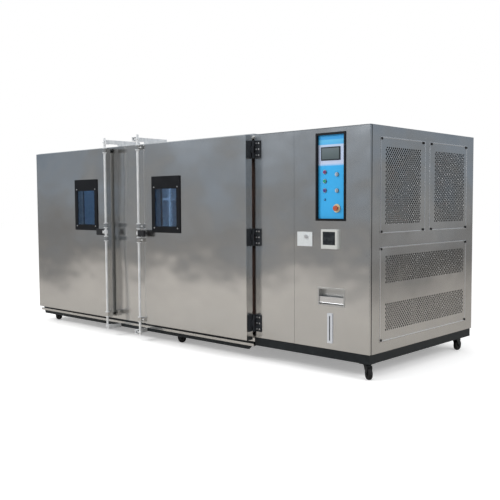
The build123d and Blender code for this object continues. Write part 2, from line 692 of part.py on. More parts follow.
POST_THICK = 40
SIDE_BAR = (SKIN, SKIN + POST_THICK)
PANEL_LAP = 14
FRONT_BAR = (SIDE_START, LOWER_PANEL[0] + PANEL_LAP)
REAR_BAR = (LOWER_PANEL[1] - PANEL_LAP, BODY_DEPTH - SKIN)
BETWEEN_BARS = (FRONT_BAR[1], REAR_BAR[0])
LEFT_POST = (UNIT_WIDTH - SKIN - POST_THICK, UNIT_WIDTH)
FRONT_POST_DEEP = (SHEET_DOOR, SHEET_DOOR + POST_THICK)
REAR_POST_DEEP = (BODY_DEPTH - SKIN - POST_THICK, BODY_DEPTH - SKIN)

save_group([
    bar(SIDE_BAR, FRONT_BAR, (UNIT_FLOOR, UNIT_TOP)),
    bar(SIDE_BAR, REAR_BAR, (UNIT_FLOOR, UNIT_TOP)),
    bar(SIDE_BAR, BETWEEN_BARS, (UNIT_FLOOR, LOWER_PANEL_Z[0] + PANEL_LAP)),
    bar(SIDE_BAR, BETWEEN_BARS, (LOWER_PANEL_Z[1] - PANEL_LAP, UPPER_PANEL_Z[0] + PANEL_LAP)),
    bar(SIDE_BAR, BETWEEN_BARS, (UPPER_PANEL_Z[1] - PANEL_LAP, UNIT_TOP)),
    bar(SIDE_BAR, (UPPER_PANELS[0][1] - PANEL_LAP, UPPER_PANELS[1][0] + PANEL_LAP),
        (UPPER_PANEL_Z[0] + PANEL_LAP, UPPER_PANEL_Z[1] - PANEL_LAP)),
    bar(LEFT_POST, FRONT_POST_DEEP, (UNIT_FLOOR, UNIT_TOP)),
    bar(LEFT_POST, REAR_POST_DEEP, (UNIT_FLOOR, UNIT_TOP)),
    bar((SIDE_BAR[1], LEFT_POST[0]), (SIDE_START, FRONT_POST_DEEP[1]), (UNIT_TOP - POST_THICK, UNIT_TOP)),
    bar((SIDE_BAR[1], LEFT_POST[0]), REAR_POST_DEEP, (UNIT_TOP - POST_THICK, UNIT_TOP)),
    bar((SERVICE_DOOR_WIDE + SEAM, SERVICE_DOOR_WIDE + SEAM + POST_THICK), FRONT_POST_DEEP,
        (UNIT_FLOOR, UNIT_TOP - POST_THICK)),
    round_bar(PIVOT_IN, PIVOT_IN, UNIT_FLOOR, UNIT_FLOOR + 16, PIVOT_R),
    round_bar(PIVOT_IN, PIVOT_IN, UNIT_TOP - 16, UNIT_TOP, PIVOT_R),
], "unit_frame")

COVER = (0, SKIN)

save_group([
    bar((0, UNIT_WIDTH - PANEL_PLAY), (0, BODY_DEPTH), (UNIT_TOP, UNIT_ROOF)),
    bar((SKIN, UNIT_WIDTH), (BODY_DEPTH - SKIN, BODY_DEPTH), (UNIT_FLOOR, UNIT_TOP)),
    bar(COVER, (SIDE_START, LOWER_PANEL[0]), (UNIT_FLOOR, UNIT_TOP)),
    bar(COVER, (LOWER_PANEL[1], BODY_DEPTH), (UNIT_FLOOR, UNIT_TOP)),
    bar(COVER, LOWER_PANEL, (UNIT_FLOOR, LOWER_PANEL_Z[0])),
    bar(COVER, LOWER_PANEL, (LOWER_PANEL_Z[1], UPPER_PANEL_Z[0])),
    bar(COVER, LOWER_PANEL, (UPPER_PANEL_Z[1], UNIT_TOP)),
    bar(COVER, (UPPER_PANELS[0][1], UPPER_PANELS[1][0]), UPPER_PANEL_Z),
], "unit_casing")

UPPER_SLOTS = ((UPPER_PANELS[0][0] + 69, UPPER_PANELS[0][1] - 75),
               (UPPER_PANELS[1][0] + 87, UPPER_PANELS[1][1] - 55))
UPPER_SLOTS_Z = (UPPER_PANEL_Z[0] + 74, UPPER_PANEL_Z[1] - 70)
LOWER_SLOTS = (LOWER_PANEL[0] + 77, LOWER_PANEL[1] - 58)
LOWER_SLOTS_Z = ((LOWER_PANEL_Z[1] - 294, LOWER_PANEL_Z[1] - 75),
                 (LOWER_PANEL_Z[0] + 82, LOWER_PANEL_Z[0] + 309))
SLOT_LONG = 82
SLOT_TALL = 24
SLOT_PITCH = 104
SLOT_ROW = 48


def slotted_area(deep, height):
    """Cut rows of air slots that fill an area of a side panel."""
    columns = round((deep[1] - deep[0]) / SLOT_PITCH)
    rows = round((height[1] - height[0]) / SLOT_ROW)
    outside = Plane((at_x(-1), at_y(sum(deep) / 2), sum(height) / 2), x_dir=(0, 1, 0), z_dir=(1, 0, 0))
    with BuildSketch(outside) as slots:
        with GridLocations(SLOT_PITCH, SLOT_ROW, columns, rows):
            Rectangle(SLOT_LONG, SLOT_TALL)
    extrude(slots.sketch, amount=-SKIN - 2, mode=Mode.SUBTRACT)


with BuildPart() as mesh_panels:
    for panel, area in zip(UPPER_PANELS, UPPER_SLOTS):
        block((0, SKIN), (panel[0] + PANEL_PLAY, panel[1] - PANEL_PLAY),
              (UPPER_PANEL_Z[0] + PANEL_PLAY, UPPER_PANEL_Z[1] - PANEL_PLAY))
        slotted_area(area, UPPER_SLOTS_Z)
    block((0, SKIN), (LOWER_PANEL[0] + PANEL_PLAY, LOWER_PANEL[1] - PANEL_PLAY),
          (LOWER_PANEL_Z[0] + PANEL_PLAY, LOWER_PANEL_Z[1] - PANEL_PLAY))
    for height in LOWER_SLOTS_Z:
        slotted_area(LOWER_SLOTS, height)
save(mesh_panels.part, "mesh_panels")

KNOB_IN = 16
UPPER_KNOBS = (UPPER_PANELS[0][0] + 17, UPPER_PANELS[0][1] - 35, UPPER_PANELS[1][0] + 34,
               UPPER_PANELS[1][1] - 15)
KNOB_PLACES = [(deep, height) for deep in UPPER_KNOBS
               for height in (UPPER_PANEL_Z[1] - KNOB_IN - 1, UPPER_PANEL_Z[0] + KNOB_IN)]
KNOB_PLACES += [(deep, height) for deep in (LOWER_PANEL[0] + KNOB_IN, LOWER_PANEL[1] - 13)
                for height in (LOWER_PANEL_Z[1] - KNOB_IN, LOWER_PANEL_Z[0] + 15)]

with BuildPart() as panel_knobs:
    for deep, height in KNOB_PLACES:
        side_disc(deep, height, (-KNOB_PROUD, 0), 11)
save(panel_knobs.part, "panel_knobs")

HATCH_ACROSS = (236, 508)
HATCH_Z = (558, 708)
HATCH_LIP_Z = 633
HATCH_BOX = (HATCH_ACROSS[0] + 8, HATCH_ACROSS[1] - 8)
HATCH_BOX_Z = (HATCH_Z[0] + 8, HATCH_Z[1] - 8)
LATCH_AT = (624, 1119)
LATCH_SHAFT_R = 8
LATCH_PLATE = (560, 723)
LATCH_PLATE_Z = (1037, 1160)
LATCH_PROUD = 4
PIVOT_DEEP = 15
CONTROL_HOLE = (CONTROL_ACROSS[0] + CONTROL_BORDER - 4, CONTROL_ACROSS[1] - CONTROL_BORDER + 4)
CONTROL_HOLE_Z = (CONTROL_Z[0] + CONTROL_BORDER - 4, CONTROL_Z[1] - CONTROL_BORDER + 4)
SHEET_Z = (UNIT_FLOOR + SEAM, UNIT_TOP - SEAM)

with BuildPart() as service_door:
    block((SEAM, SERVICE_DOOR_WIDE), (0, SHEET_DOOR), SHEET_Z)
    fillet(service_door.edges().filter_by(Axis.Z).group_by(Axis.X)[-1], radius=2)
    block(CONTROL_HOLE, (0, SHEET_DOOR), CONTROL_HOLE_Z, mode=Mode.SUBTRACT)
    block(HATCH_BOX, (0, SHEET_DOOR), HATCH_BOX_Z, mode=Mode.SUBTRACT)
    upright(PIVOT_IN, PIVOT_IN, SHEET_Z[0], SHEET_Z[0] + PIVOT_DEEP, PIVOT_R + RUNNING, mode=Mode.SUBTRACT)
    upright(PIVOT_IN, PIVOT_IN, SHEET_Z[1] - PIVOT_DEEP, SHEET_Z[1], PIVOT_R + RUNNING, mode=Mode.SUBTRACT)
    front_disc(*LATCH_AT, (-LATCH_PROUD, SHEET_DOOR), LATCH_SHAFT_R + RUNNING, mode=Mode.SUBTRACT)
    with BuildPart(mode=Mode.PRIVATE) as latch_plate:
        block(LATCH_PLATE, (-LATCH_PROUD, 0), LATCH_PLATE_Z)
        fillet(latch_plate.edges().filter_by(Axis.Y), radius=6)
        front_disc(*LATCH_AT, (-LATCH_PROUD - 2, 2), LATCH_SHAFT_R + RUNNING, mode=Mode.SUBTRACT)
    add(latch_plate.part)
save(service_door.part, "service_door")

with BuildPart() as unit_front_panel:
    block((SERVICE_DOOR_WIDE + SEAM, UNIT_WIDTH - PANEL_PLAY), (0, SHEET_DOOR), SHEET_Z)
save(unit_front_panel.part, "unit_front_panel")

with BuildPart() as door_latch:
    knob_deep = (-LATCH_PROUD - 12, -LATCH_PROUD - 0.5)
    cam_deep = (SHEET_DOOR + 4, SHEET_DOOR + 8)
    front_disc(*LATCH_AT, knob_deep, 15)
    front_disc(*LATCH_AT, (knob_deep[1], cam_deep[0]), LATCH_SHAFT_R)
    block((LATCH_AT[0] - 6, LATCH_AT[0] + 40), cam_deep, (LATCH_AT[1] - 10, LATCH_AT[1] + 10))
save(door_latch.part, "door_latch")

# Control panel on the service door

CONTROL_INNER = (CONTROL_ACROSS[0] + CONTROL_BORDER, CONTROL_ACROSS[1] - CONTROL_BORDER)
CONTROL_INNER_Z = (CONTROL_Z[0] + CONTROL_BORDER, CONTROL_Z[1] - CONTROL_BORDER)
BUTTON_ACROSS = 445
SWITCH_ACROSS = 325
BUTTON_HEIGHTS = {"start_button": 1646, "stop_button": 1572, "light_button": 1497}
SELECTOR_HEIGHTS = {"upper_selector": 1624, "lower_selector": 1495}
STOP_HEIGHT = 1353
INDICATOR_HEIGHT = 1423
SCREEN_ACROSS = (292, 484)
SCREEN_Z = (1738, 1846)
BEZEL_R = 17
CAP_R = 13
STEM_R = 7

with BuildPart() as control_frame:
    block(CONTROL_ACROSS, (-CONTROL_PROUD, 0), CONTROL_Z)
    chamfer(control_frame.faces().sort_by(Axis.Y)[0].edges(), length=1.5)
    block(CONTROL_HOLE, (0, SHEET_DOOR), CONTROL_HOLE_Z)
    block(CONTROL_INNER, (-CONTROL_PROUD, SHEET_DOOR), CONTROL_INNER_Z, mode=Mode.SUBTRACT)
    for height in list(BUTTON_HEIGHTS.values()) + list(SELECTOR_HEIGHTS.values()):
        across = BUTTON_ACROSS if height in BUTTON_HEIGHTS.values() else SWITCH_ACROSS
        with BuildPart(mode=Mode.PRIVATE) as bezel:
            front_disc(across, height, (FASCIA_DEEP - 6, FASCIA_DEEP), BEZEL_R)
            front_disc(across, height, (FASCIA_DEEP - 7, FASCIA_DEEP + 1), CAP_R + 0.6, mode=Mode.SUBTRACT)
        add(bezel.part)
    front_disc(BUTTON_ACROSS, INDICATOR_HEIGHT, (FASCIA_DEEP - 5, FASCIA_DEEP), 9)
    with BuildPart(mode=Mode.PRIVATE) as stop_plate:
        front_disc(SWITCH_ACROSS, STOP_HEIGHT, (FASCIA_DEEP - 4, FASCIA_DEEP), 34)
        front_disc(SWITCH_ACROSS, STOP_HEIGHT, (FASCIA_DEEP - 5, FASCIA_DEEP + 1), STEM_R + RUNNING,
                   mode=Mode.SUBTRACT)
    add(stop_plate.part)
save(control_frame.part, "control_frame")

with BuildPart() as control_fascia:
    block(CONTROL_INNER, (FASCIA_DEEP, FASCIA_DEEP + FASCIA_THICK), CONTROL_INNER_Z)
    for height in BUTTON_HEIGHTS.values():
        front_disc(BUTTON_ACROSS, height, (0, SHEET_DOOR), STEM_R + RUNNING, mode=Mode.SUBTRACT)
    for height in list(SELECTOR_HEIGHTS.values()) + [STOP_HEIGHT]:
        front_disc(SWITCH_ACROSS, height, (0, SHEET_DOOR), STEM_R + RUNNING, mode=Mode.SUBTRACT)
save(control_fascia.part, "control_fascia")

with BuildPart() as touch_screen:
    block(SCREEN_ACROSS, (FASCIA_DEEP - 6, FASCIA_DEEP), SCREEN_Z)
    fillet(touch_screen.edges().filter_by(Axis.Y), radius=4)
    chamfer(touch_screen.faces().sort_by(Axis.Y)[0].edges(), length=1.5)
save(touch_screen.part, "touch_screen")

for name, height in BUTTON_HEIGHTS.items():
    with BuildPart() as button:
        front_disc(BUTTON_ACROSS, height, (FASCIA_DEEP - 12, FASCIA_DEEP - 5), CAP_R)
        fillet(button.edges().group_by(Axis.Y)[0], radius=2)
        front_disc(BUTTON_ACROSS, height, (FASCIA_DEEP - 5, FASCIA_DEEP + 9), STEM_R)
    save(button.part, name)

for name, height in SELECTOR_HEIGHTS.items():
    with BuildPart() as selector:
        front_disc(SWITCH_ACROSS, height, (FASCIA_DEEP - 8, FASCIA_DEEP - 0.5), CAP_R)
        block((SWITCH_ACROSS - 4.5, SWITCH_ACROSS + 4.5), (FASCIA_DEEP - 20, FASCIA_DEEP - 8),
              (height - 12, height + 12))
        front_disc(SWITCH_ACROSS, height, (FASCIA_DEEP - 0.5, FASCIA_DEEP + 9), STEM_R)
    save(selector.part, name)

with BuildPart() as emergency_stop:
    front_disc(SWITCH_ACROSS, STOP_HEIGHT, (FASCIA_DEEP - 32, FASCIA_DEEP - 18), 22)
    fillet(emergency_stop.edges().group_by(Axis.Y)[0], radius=6)
    front_disc(SWITCH_ACROSS, STOP_HEIGHT, (FASCIA_DEEP - 18, FASCIA_DEEP - 10), 13)
    front_disc(SWITCH_ACROSS, STOP_HEIGHT, (FASCIA_DEEP - 10, FASCIA_DEEP + 9), STEM_R)
save(emergency_stop.part, "emergency_stop")

RECORDER_ACROSS = (298, 460)
RECORDER_Z = (1024, 1182)
RECORDER_PROUD = 24

with BuildPart() as recorder:
    block(RECORDER_ACROSS, (-RECORDER_PROUD, 0), RECORDER_Z)
    fillet(recorder.edges().filter_by(Axis.Y), radius=5)
    chamfer(recorder.faces().sort_by(Axis.Y)[0].edges(), length=3)
    block((RECORDER_ACROSS[0] + 18, RECORDER_ACROSS[1] - 18), (-RECORDER_PROUD, 4 - RECORDER_PROUD),
          (RECORDER_Z[0] + 32, RECORDER_Z[1] - 18), mode=Mode.SUBTRACT)
save(recorder.part, "recorder")

HATCH_RIM = 14
HATCH_HOLLOW = (HATCH_ACROSS[0] + HATCH_RIM, HATCH_ACROSS[1] - HATCH_RIM)

with BuildPart() as hatch_surround:
    block(HATCH_ACROSS, (-3, 0), HATCH_Z)
    block(HATCH_BOX, (0, 48), HATCH_BOX_Z)
    block(HATCH_HOLLOW, (-3, 44), (HATCH_Z[0] + HATCH_RIM, HATCH_Z[1] - HATCH_RIM), mode=Mode.SUBTRACT)
save(hatch_surround.part, "hatch_surround")

FLAP_PIVOT = (6, HATCH_Z[0] + 24)
FLAP_THICK = 4

with BuildPart() as hatch_flap:
    flap_across = (HATCH_HOLLOW[0] + 1, HATCH_HOLLOW[1] - 1)
    flap_deep = (FLAP_THICK, 2 * FLAP_THICK)
    block(flap_across, flap_deep, (FLAP_PIVOT[1], HATCH_LIP_Z))
    block(flap_across, (-1, flap_deep[1]), (HATCH_LIP_Z - FLAP_THICK, HATCH_LIP_Z))
    with Locations((at_x(sum(flap_across) / 2), at_y(FLAP_PIVOT[0]), FLAP_PIVOT[1])):
        Cylinder(FLAP_THICK, HATCH_HOLLOW[1] - HATCH_HOLLOW[0], rotation=(0, 90, 0))
save(hatch_flap.part, "hatch_flap")

GAUGE_ACROSS = (357, 406)
GAUGE_Z = (256, 500)
GAUGE_PROUD = 8

with BuildPart() as level_gauge:
    block(GAUGE_ACROSS, (-GAUGE_PROUD, 0), GAUGE_Z)
    fillet(level_gauge.edges().filter_by(Axis.Y), radius=4)
    block((GAUGE_ACROSS[0] + 19, GAUGE_ACROSS[1] - 19), (-GAUGE_PROUD, 5 - GAUGE_PROUD),
          (GAUGE_Z[0] + 20, GAUGE_Z[1] - 20), mode=Mode.SUBTRACT)
save(level_gauge.part, "level_gauge")

# Refrigeration and water supply inside the unit

COOLER_ACROSS = (110, 200)
COOLER_Z = (UPPER_PANEL_Z[0] + 64, UPPER_PANEL_Z[1] - 64)
COOLER_COILS = ((UPPER_PANELS[0][0] + 76, UPPER_PANELS[0][1] - 78),
                (UPPER_PANELS[1][0] + 59, UPPER_PANELS[1][1] - 57))
COOLER_FAN = (sum(COOLER_COILS[0]) / 2, sum(COOLER_Z) / 2 + 2.5)
COOLER_HUB = (COOLER_ACROSS[1] + 6, COOLER_ACROSS[1] + 60)
COOLER_FINS = 12
COOLER_FIN = 12
HEADER = 20
SHELF_TOP = COOLER_Z[0] - HEADER
SHELF_END = 400
COMPRESSOR_ACROSS = 420
COMPRESSORS_DEEP = (560, 1120)
COMPRESSOR_R = 120
COMPRESSOR_TOP = UNIT_FLOOR + 400
SUCTION_PIPE_R = 14

with BuildPart() as compressors:
    for deep in COMPRESSORS_DEEP:
        upright(COMPRESSOR_ACROSS, deep, UNIT_FLOOR, UNIT_FLOOR + 30, COMPRESSOR_R + 30)
        upright(COMPRESSOR_ACROSS, deep, UNIT_FLOOR + 30, COMPRESSOR_TOP, COMPRESSOR_R)
        fillet(compressors.edges().filter_by(GeomType.CIRCLE).group_by(Axis.Z)[-1], radius=40)
    upright(COMPRESSOR_ACROSS - 170, sum(COMPRESSORS_DEEP) / 2, UNIT_FLOOR, UNIT_FLOOR + 480, 60)
    for deep in COMPRESSORS_DEEP:
        upright(COMPRESSOR_ACROSS, deep, COMPRESSOR_TOP, COOLER_Z[0] + 35, SUCTION_PIPE_R)
save(compressors.part, "compressors")

with BuildPart() as condenser:
    for coil in COOLER_COILS:
        fin_pitch = (coil[1] - coil[0] - 2 * COOLER_FIN) / (COOLER_FINS - 1)
        for fin in range(COOLER_FINS):
            fin_deep = coil[0] + COOLER_FIN / 2 + fin * fin_pitch
            block(COOLER_ACROSS, (fin_deep, fin_deep + COOLER_FIN), COOLER_Z)
        block(COOLER_ACROSS, coil, (SHELF_TOP, COOLER_Z[0]))
        block(COOLER_ACROSS, coil, (COOLER_Z[1], COOLER_Z[1] + HEADER))
    block(COOLER_ACROSS, (COOLER_COILS[0][1], COOLER_COILS[1][0]), (SHELF_TOP, COOLER_Z[0]))
    block((SIDE_BAR[1], SHELF_END), (COOLER_COILS[0][0], COOLER_COILS[1][1]),
          (UPPER_PANEL_Z[0] + 4, SHELF_TOP))
    side_disc(*COOLER_FAN, (COOLER_HUB[1], SHELF_END), 50)
    block((COOLER_HUB[1] + 30, SHELF_END - 30), (COOLER_FAN[0] - 40, COOLER_FAN[0] + 40),
          (SHELF_TOP, COOLER_FAN[1] - 50))
save(condenser.part, "condenser")

with BuildPart() as condenser_fan:
    side_disc(*COOLER_FAN, COOLER_HUB, 45)
    fan_middle = Plane((at_x(COOLER_HUB[0] + 25), at_y(COOLER_FAN[0]), COOLER_FAN[1]),
                       x_dir=(0, 1, 0), z_dir=(1, 0, 0))
    with Locations(fan_middle):
        with PolarLocations(0, 5):
            with Locations(Location((125, 0, 0), (28, 0, 0))):
                Box(170, 80, 4)
save(condenser_fan.part, "condenser_fan")

TANK_ACROSS = (240, 520)
TANK_DEEP = (90, 330)

with BuildPart() as water_tank:
    block(TANK_ACROSS, TANK_DEEP, (UNIT_FLOOR, 720))
    fillet(water_tank.edges().filter_by(Axis.Z), radius=25)
save(water_tank.part, "water_tank")
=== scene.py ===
import math
import bmesh
import bpy
from mathutils import Matrix, Vector


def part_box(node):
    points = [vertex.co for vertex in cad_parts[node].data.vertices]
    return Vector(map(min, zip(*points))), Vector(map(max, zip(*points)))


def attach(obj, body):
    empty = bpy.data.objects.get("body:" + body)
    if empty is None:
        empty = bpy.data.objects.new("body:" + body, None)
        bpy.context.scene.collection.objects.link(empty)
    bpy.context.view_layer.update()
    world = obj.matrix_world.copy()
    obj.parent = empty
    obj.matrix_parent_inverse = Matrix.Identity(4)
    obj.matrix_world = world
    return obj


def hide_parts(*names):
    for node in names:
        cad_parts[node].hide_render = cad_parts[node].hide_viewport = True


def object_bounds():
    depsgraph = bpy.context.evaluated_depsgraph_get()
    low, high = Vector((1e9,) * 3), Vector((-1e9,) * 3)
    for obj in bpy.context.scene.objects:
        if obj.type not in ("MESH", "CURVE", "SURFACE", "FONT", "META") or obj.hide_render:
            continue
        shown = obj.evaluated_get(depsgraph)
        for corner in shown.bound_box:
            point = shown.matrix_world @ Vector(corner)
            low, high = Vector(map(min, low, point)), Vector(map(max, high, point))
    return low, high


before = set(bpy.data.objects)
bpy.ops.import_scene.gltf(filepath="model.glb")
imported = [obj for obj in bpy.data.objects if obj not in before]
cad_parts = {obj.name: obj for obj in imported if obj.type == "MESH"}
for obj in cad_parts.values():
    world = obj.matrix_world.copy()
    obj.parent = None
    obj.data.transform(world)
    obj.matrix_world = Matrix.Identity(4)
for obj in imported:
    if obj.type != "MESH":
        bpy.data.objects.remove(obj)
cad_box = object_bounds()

# Photo studio. A pale floor and a pale surround, with soft daylight from the front and from the right.
# The surround is white to the eye, and in the steel it shows as bands of cool and warm grey.
EYE = Vector((5.529, -5.516, 1.390))
TURN_LEFT = math.radians(43.03)
TILT_DOWN = math.radians(3.605)
ROLL = math.radians(-0.326)
FOCAL_PIXELS = 728.4
PICTURE_PIXELS = 500
SENSOR_WIDTH = 36
SURROUND_LIGHT = 0.72
FLOOR_HALF = 40
FLOOR_GLOW = 0.31

camera_data = bpy.data.cameras.new("studio_camera")
camera = bpy.data.objects.new("studio_camera", camera_data)
bpy.context.scene.collection.objects.link(camera)
camera_data.sensor_width = SENSOR_WIDTH
camera_data.lens = FOCAL_PIXELS / PICTURE_PIXELS * SENSOR_WIDTH
camera.matrix_world = (Matrix.Translation(EYE) @ Matrix.Rotation(TURN_LEFT, 4, "Z")
                       @ Matrix.Rotation(math.radians(90) - TILT_DOWN, 4, "X")
                       @ Matrix.Rotation(ROLL, 4, "Z"))
bpy.context.scene.camera = camera
bpy.context.scene.view_settings.view_transform = "Standard"


def ramp(nodes, stops):
    """A colour ramp node from pairs of place and grey or colour."""
    node = nodes.new("ShaderNodeValToRGB")
    while len(node.color_ramp.elements) < len(stops):
        node.color_ramp.elements.new(0.5)
    for element, (place, colour) in zip(node.color_ramp.elements, stops):
        element.position = place
        shade = (colour, colour, colour) if isinstance(colour, float) else colour
        element.color = (*shade, 1)
    return node


def seen_directly(nodes, links, kinds):
    """One for rays of the given kinds, such as camera rays, and nothing for others."""
    path = nodes.new("ShaderNodeLightPath")
    total = path.outputs[kinds[0]]
    for kind in kinds[1:]:
        either = nodes.new("ShaderNodeMath")
        either.operation = "MAXIMUM"
        links.new(total, either.inputs[0])
        links.new(path.outputs[kind], either.inputs[1])
        total = either.outputs[0]
    return total


def build_surround():
    """White to the camera, soft white light for the surfaces, and banded greys in the reflections."""
    world = bpy.data.worlds.new("surround")
    bpy.context.scene.world = world
    world.use_nodes = True
    nodes = world.node_tree.nodes
    links = world.node_tree.links
    nodes.clear()
    coord = nodes.new("ShaderNodeTexCoord")
    split = nodes.new("ShaderNodeSeparateXYZ")
    links.new(coord.outputs["Generated"], split.inputs[0])
    wave = nodes.new("ShaderNodeTexNoise")
    wave.inputs["Scale"].default_value = 4.5
    wave.inputs["Detail"].default_value = 2
    links.new(coord.outputs["Generated"], wave.inputs["Vector"])
    lift = nodes.new("ShaderNodeMath")
    lift.operation = "MULTIPLY_ADD"
    links.new(wave.outputs["Fac"], lift.inputs[0])
    lift.inputs[1].default_value = 0.26
    links.new(split.outputs["Z"], lift.inputs[2])
    bands = ramp(nodes, ((0.02, (0.46, 0.45, 0.44)), (0.10, (0.40, 0.40, 0.395)),
                         (0.145, (0.20, 0.21, 0.215)), (0.19, (0.37, 0.415, 0.47)),
                         (0.25, (0.18, 0.225, 0.28)), (0.33, (0.32, 0.38, 0.45)),
                         (0.50, (0.60, 0.68, 0.76)), (1.0, (0.85, 0.88, 0.9))))
    links.new(lift.outputs[0], bands.inputs[0])
    reflected = nodes.new("ShaderNodeBackground")
    links.new(bands.outputs["Color"], reflected.inputs["Color"])
    plain = nodes.new("ShaderNodeBackground")
    plain.inputs["Color"].default_value = (1, 1, 1, 1)
    plain.inputs["Strength"].default_value = SURROUND_LIGHT
    white = nodes.new("ShaderNodeBackground")
    white.inputs["Color"].default_value = (1, 1, 1, 1)
    by_gloss = nodes.new("ShaderNodeMixShader")
    links.new(seen_directly(nodes, links, ("Is Glossy Ray", "Is Transmission Ray")), by_gloss.inputs[0])
    links.new(plain.outputs[0], by_gloss.inputs[1])
    links.new(reflected.outputs[0], by_gloss.inputs[2])
    by_eye = nodes.new("ShaderNodeMixShader")
    links.new(seen_directly(nodes, links, ("Is Camera Ray",)), by_eye.inputs[0])
    links.new(by_gloss.outputs[0], by_eye.inputs[1])
    links.new(white.outputs[0], by_eye.inputs[2])
    output = nodes.new("ShaderNodeOutputWorld")
    links.new(by_eye.outputs[0], output.inputs["Surface"])


def build_floor():
    """Pale level floor that keeps a soft shadow and fades into the white surround."""
    bm = bmesh.new()
    bmesh.ops.create_grid(bm, x_segments=1, y_segments=1, size=FLOOR_HALF)
    mesh = bpy.data.meshes.new("studio_floor")
    bm.to_mesh(mesh)
    bm.free()
    floor = bpy.data.objects.new("studio_floor", mesh)
    bpy.context.scene.collection.objects.link(floor)
    floor.location.z = cad_box[0][2]
    finish = bpy.data.materials.new("pale_floor")
    finish.use_nodes = True
    nodes = finish.node_tree.nodes
    links = finish.node_tree.links
    nodes.clear()
    paint = nodes.new("ShaderNodeBsdfDiffuse")
    paint.inputs["Color"].default_value = (0.97, 0.97, 0.97, 1)
    dull = nodes.new("ShaderNodeBsdfDiffuse")
    coord = nodes.new("ShaderNodeTexCoord")
    patches = nodes.new("ShaderNodeTexNoise")
    patches.inputs["Scale"].default_value = 0.35
    patches.inputs["Detail"].default_value = 1
    links.new(coord.outputs["Object"], patches.inputs["Vector"])
    away = nodes.new("ShaderNodeVectorMath")
    away.operation = "LENGTH"
    links.new(coord.outputs["Object"], away.inputs[0])
    spread = nodes.new("ShaderNodeMath")
    spread.operation = "MULTIPLY_ADD"
    links.new(patches.outputs["Fac"], spread.inputs[0])
    spread.inputs[1].default_value = 4.0
    links.new(away.outputs["Value"], spread.inputs[2])
    reach = nodes.new("ShaderNodeMapRange")
    reach.inputs["From Min"].default_value = 3.5
    reach.inputs["From Max"].default_value = 40.0
    links.new(spread.outputs[0], reach.inputs["Value"])
    ground = ramp(nodes, ((0.0, (0.62, 0.59, 0.55)), (0.13, (0.55, 0.52, 0.485)),
                          (0.26, (0.30, 0.29, 0.275)), (0.45, (0.28, 0.275, 0.27)),
                          (1.0, (0.42, 0.42, 0.42))))
    links.new(reach.outputs[0], ground.inputs[0])
    links.new(ground.outputs["Color"], dull.inputs["Color"])
    glow = nodes.new("ShaderNodeEmission")
    glow.inputs["Strength"].default_value = FLOOR_GLOW
    lit = nodes.new("ShaderNodeAddShader")
    links.new(paint.outputs[0], lit.inputs[0])
    links.new(glow.outputs[0], lit.inputs[1])
    mix = nodes.new("ShaderNodeMixShader")
    links.new(seen_directly(nodes, links, ("Is Camera Ray",)), mix.inputs[0])
    links.new(dull.outputs[0], mix.inputs[1])
    links.new(lit.outputs[0], mix.inputs[2])
    output = nodes.new("ShaderNodeOutputMaterial")
    links.new(mix.outputs[0], output.inputs["Surface"])
    mesh.materials.append(finish)


def soft_lamp(name, place, target, width, height, watts):
    """A large soft box that points at a spot."""
    data = bpy.data.lights.new(name, "AREA")
    data.shape = "RECTANGLE"
    data.size = width
    data.size_y = height
    data.energy = watts
    lamp = bpy.data.objects.new(name, data)
    bpy.context.scene.collection.objects.link(lamp)
    lamp.location = place
    lamp.rotation_euler = (Vector(target) - Vector(place)).to_track_quat("-Z", "Y").to_euler()


build_surround()
build_floor()
soft_lamp("front_soft_box", place=(-4.5, -7.5, 6.0), target=(0.0, -0.8, 1.0),
          width=5.0, height=3.0, watts=420)
soft_lamp("side_soft_box", place=(8.5, -1.0, 5.0), target=(2.4, 0.2, 1.0),
          width=3.0, height=2.5, watts=170)

# Sheet-steel shell. The chamber's insulated panels and the machine unit's covers are faced with brushed
# stainless sheet, folded at the edges and screwed to the frame, and the grain runs up and down.


class Shader:
    """A new material with its principled shader, and short calls to add the nodes that feed it."""

    def __init__(self, name, rough=None, metal=0.0):
        self.material = bpy.data.materials.new(name)
        self.material.use_nodes = True
        self.nodes = self.material.node_tree.nodes
        self.links = self.material.node_tree.links
        self.surface = self.nodes["Principled BSDF"]
        self.surface.inputs["Metallic"].default_value = metal
        if rough is not None:
            self.surface.inputs["Roughness"].default_value = rough
        self.coord = self.nodes.new("ShaderNodeTexCoord")

    def noise(self, stretch, detail=3.0, roughness=0.5):
        """Noise over the piece's own place, with its scale along each axis."""
        place = self.nodes.new("ShaderNodeMapping")
        place.inputs["Scale"].default_value = stretch
        self.links.new(self.coord.outputs["Object"], place.inputs["Vector"])
        node = self.nodes.new("ShaderNodeTexNoise")
        node.inputs["Scale"].default_value = 1.0
        node.inputs["Detail"].default_value = detail
        node.inputs["Roughness"].default_value = roughness
        self.links.new(place.outputs[0], node.inputs["Vector"])
        return node.outputs["Fac"]

    def tint(self, source, stops, into="Base Color"):
        """Colour a shader input by a ramp over a source."""
        node = ramp(self.nodes, stops)
        self.links.new(source, node.inputs[0])
        self.links.new(node.outputs["Color"], self.surface.inputs[into])

    def span(self, source, low, high, into):
        """Carry a source's middle range to a range of values on a shader input."""
        node = self.nodes.new("ShaderNodeMapRange")
        node.inputs["From Min"].default_value = 0.3
        node.inputs["From Max"].default_value = 0.7
        node.inputs["To Min"].default_value = low
        node.inputs["To Max"].default_value = high
        self.links.new(source, node.inputs["Value"])
        self.links.new(node.outputs[0], self.surface.inputs[into])

    def bump(self, sources):
        """Stack bumps from pairs of source and depth in metres."""
        last = None
        for source, depth in sources:
            node = self.nodes.new("ShaderNodeBump")
            node.inputs["Strength"].default_value = 1.0
            node.inputs["Distance"].default_value = depth
            self.links.new(source, node.inputs["Height"])
            if last:
                self.links.new(last, node.inputs["Normal"])
            last = node.outputs["Normal"]
        self.links.new(last, self.surface.inputs["Normal"])


